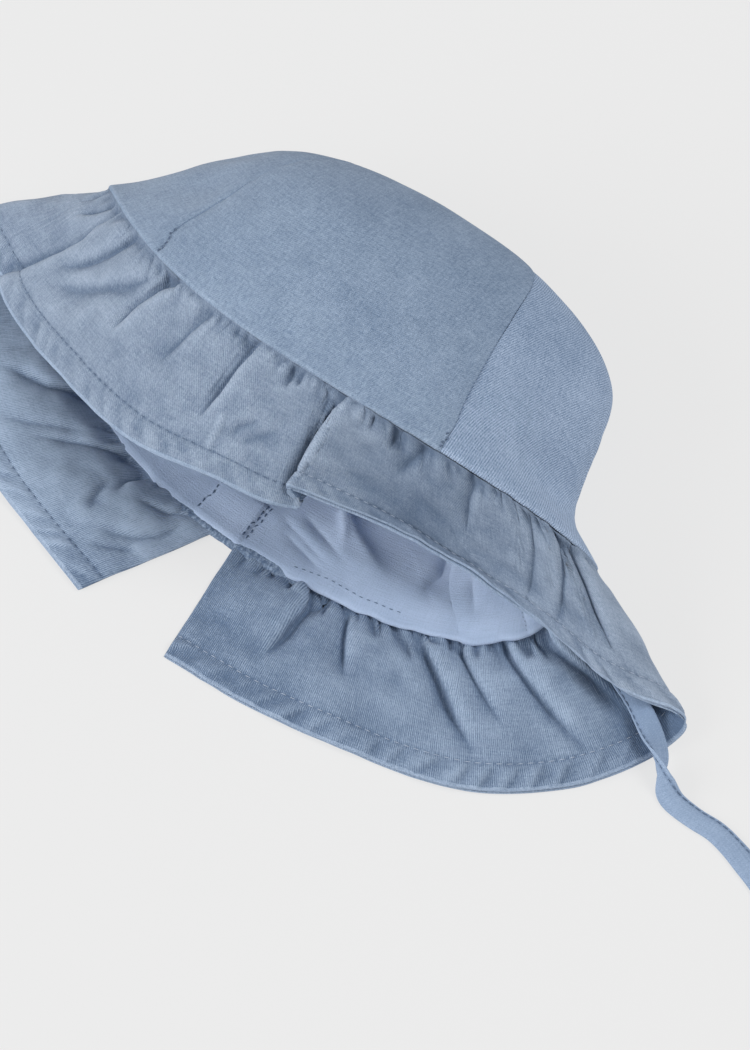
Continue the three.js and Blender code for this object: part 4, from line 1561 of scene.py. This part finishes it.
def ruffle_wear_and_shade(around, share, middle, hem_shading, pleat):
    """How pale each point is: the outer face, the lips and then the inner face, mostly painted light
    and shade.
    """
    # Painted light on ridges and painted shade in creases, and painted shade along the seam under the
    # crown's edge.
    bend = worn_and_lit(middle, CREASE_SHADE_REACH)
    crests = bend - SEAM_SHADE * close_to(share * RUFFLE_WIDTH, 0, SEAM_SHADE_REACH)
    # Painted shade on the ruffle's right front, where the crown and the pleat shade it.
    crests = crests - RIGHT_FRONT_SHADE * close_to(around, RIGHT_FRONT_SHADE_AT, RIGHT_FRONT_SHADE_REACH)
    # Painted light at the right tip, and painted shade on the pleat's flank.
    crests = crests + TIP_LIGHT * close_to(around, SIDE_AT, SIDE_REACH) - PLEAT_SHADE * pleat**2
    # Painted light on the inner face at the lower left, which the upper ruffle shades; near the split
    # it turns to painted shade towards the hem.
    by_seam = 1 - ease(share, 0.45, 0.75)
    paler = ease(around, 0.78, 0.84) * (1 + ease(around, 0.95, 0.98) * (2.0 * by_seam - 1.3))
    # Painted shade in the hollow under the right tip.
    tip_shade = ease(around, 0.220, 0.240) * right_half(around)
    hollows = LEFT_LIGHT * paler - TIP_SHADE * tip_shade - bend
    # Painted shade on the lower ruffle right of the split.
    hollows = hollows - LOWER_RIGHT_SHADE * (1 - ease(around, 0.07, 0.15))
    lips = np.full((2 * LIP_STEPS + SLIT_ROWS, len(around)), 0.1)
    lips = lips + PALER_LIP * ease(around, 0.25, 0.27) * (1 - ease(around, 0.30, 0.36))
    # Painted shade in the slit between the lips.
    lips[LIP_STEPS : LIP_STEPS + SLIT_ROWS] = -1
    return np.concatenate([(crests + hem_shading)[:-1], lips, (hollows + hem_shading)[:-1][::-1]])


print("wear reaches over", CREASE_SHADE_REACH, "points")

# %% Ruffle
RUFFLE_COLUMNS = 960
CROWDED_PLEAT = 1.3
CROWDED_PLEAT_REACH = 0.022
PUCKER_FRONT, PUCKER_RIGHT = 0.45, 0.55
BRIM_FACE, INNER_FACE, WORN_AND_LIT_FACE = 0, 1, 2
STITCH_RAISED = 0.05
HEM_STITCH_START = 0.55
# Each thread: its piece's name, stitch length and radius
HEM_THREADS = {"pale": ("hem_stitches", 2.2, 0.13), "dark": ("hem_stitches_dark", 1.6, 0.14)}
# Each run: its thread, the face it shows on, and from where to where round the hat
HEM_RUNS = [
    ("pale", BRIM_FACE, 0.25, 0.47),
    ("dark", BRIM_FACE, 0.47, 0.75),
    ("pale", INNER_FACE, 0.0, 0.262),
    ("dark", INNER_FACE, 0.738, 1.0),
]


def hem_stitches(faces, normal, around, stitch_row):
    runs = {tone: [] for tone in HEM_THREADS}
    for tone, side, start, end in HEM_RUNS:
        part = (around > start) & (around <= end)
        up = normal[stitch_row][part] * (1 - 2 * side)
        row = faces[side][stitch_row][part] + up * STITCH_RAISED
        _, long, thick = HEM_THREADS[tone]
        runs[tone].append((row, up, long, STITCH_PITCH, thick, HEM_STITCH_START))
    return [stitches(HEM_THREADS[tone][0], runs[tone], thread[tone]) for tone in runs]


def ruffle():
    steps = np.linspace(RUFFLE_SPLIT, 1 - RUFFLE_SPLIT, 4000)
    crowd = np.cumsum(1 + CROWDED_PLEAT * close_to(steps, PLEAT_AROUND, CROWDED_PLEAT_REACH))
    around = np.interp(np.linspace(crowd[0], crowd[-1], RUFFLE_COLUMNS), crowd, steps)
    out, stitch_row = ruffle_rows()
    extended = np.concatenate([out, [1.0]])
    middle, cut, pleat = ruffle_middle(around, extended)
    normal = grid_normals(middle)
    end_round = end_rounding(around)
    from_stitch = (extended - out[stitch_row])[:, None] * RUFFLE_WIDTH
    u = cut[-1, :, 0]
    puffed, slant, dimple_shade = hem_relief(u, from_stitch)
    pucker = PUCKER_FRONT + PUCKER_RIGHT * lower_share(around) * right_half(around)
    half = (RUFFLE_WALL / 2 + puffed + slant * pucker) * end_round
    faces = [middle + normal * (side * half)[..., None] for side in (1, -1)]
    lips = hem_lips(middle, normal, around, end_round)
    points = np.array([*faces[0][:-1], *lips, *faces[1][:-1][::-1]])
    stay_above(points, 0.02)
    down = run_along(points[:, ::40]).mean(axis=1)
    flat = np.stack(np.broadcast_arrays(u[None], down[:, None]), axis=-1)
    # Painted light and shade on the hem band's puckers and painted shade in its stitch dimples.
    hem_shading = np.clip(slant, -0.5, 0.5) - dimple_shade
    wear_and_shade = ruffle_wear_and_shade(around, extended[:, None], middle, hem_shading, pleat)
    piece = sheet("ruffle_cloth", points, flat, cloth["brim"], wear_and_shade)
    piece.data.materials.append(cloth["inner"])
    piece.data.materials.append(cloth["worn_and_lit"])
    finish = np.full((len(points) - 1, RUFFLE_COLUMNS - 1), BRIM_FACE, np.int32)
    finish[len(extended) + LIP_STEPS :] = INNER_FACE
    # The lips take the worn_and_lit twill: washed wear with a painted highlight.
    finish[len(out) - 1 : len(points) - len(out)] = WORN_AND_LIT_FACE
    piece.data.polygons.foreach_set("material_index", finish.ravel())
    dress(piece, ["brim_ruffle"])
    sewn = [*hem_stitches(faces, normal, around, stitch_row), *seam_band()]
    declare_cloth(piece, 2 * RUFFLE_WIDTH, cut[-1, -1, 0])


ruffle()
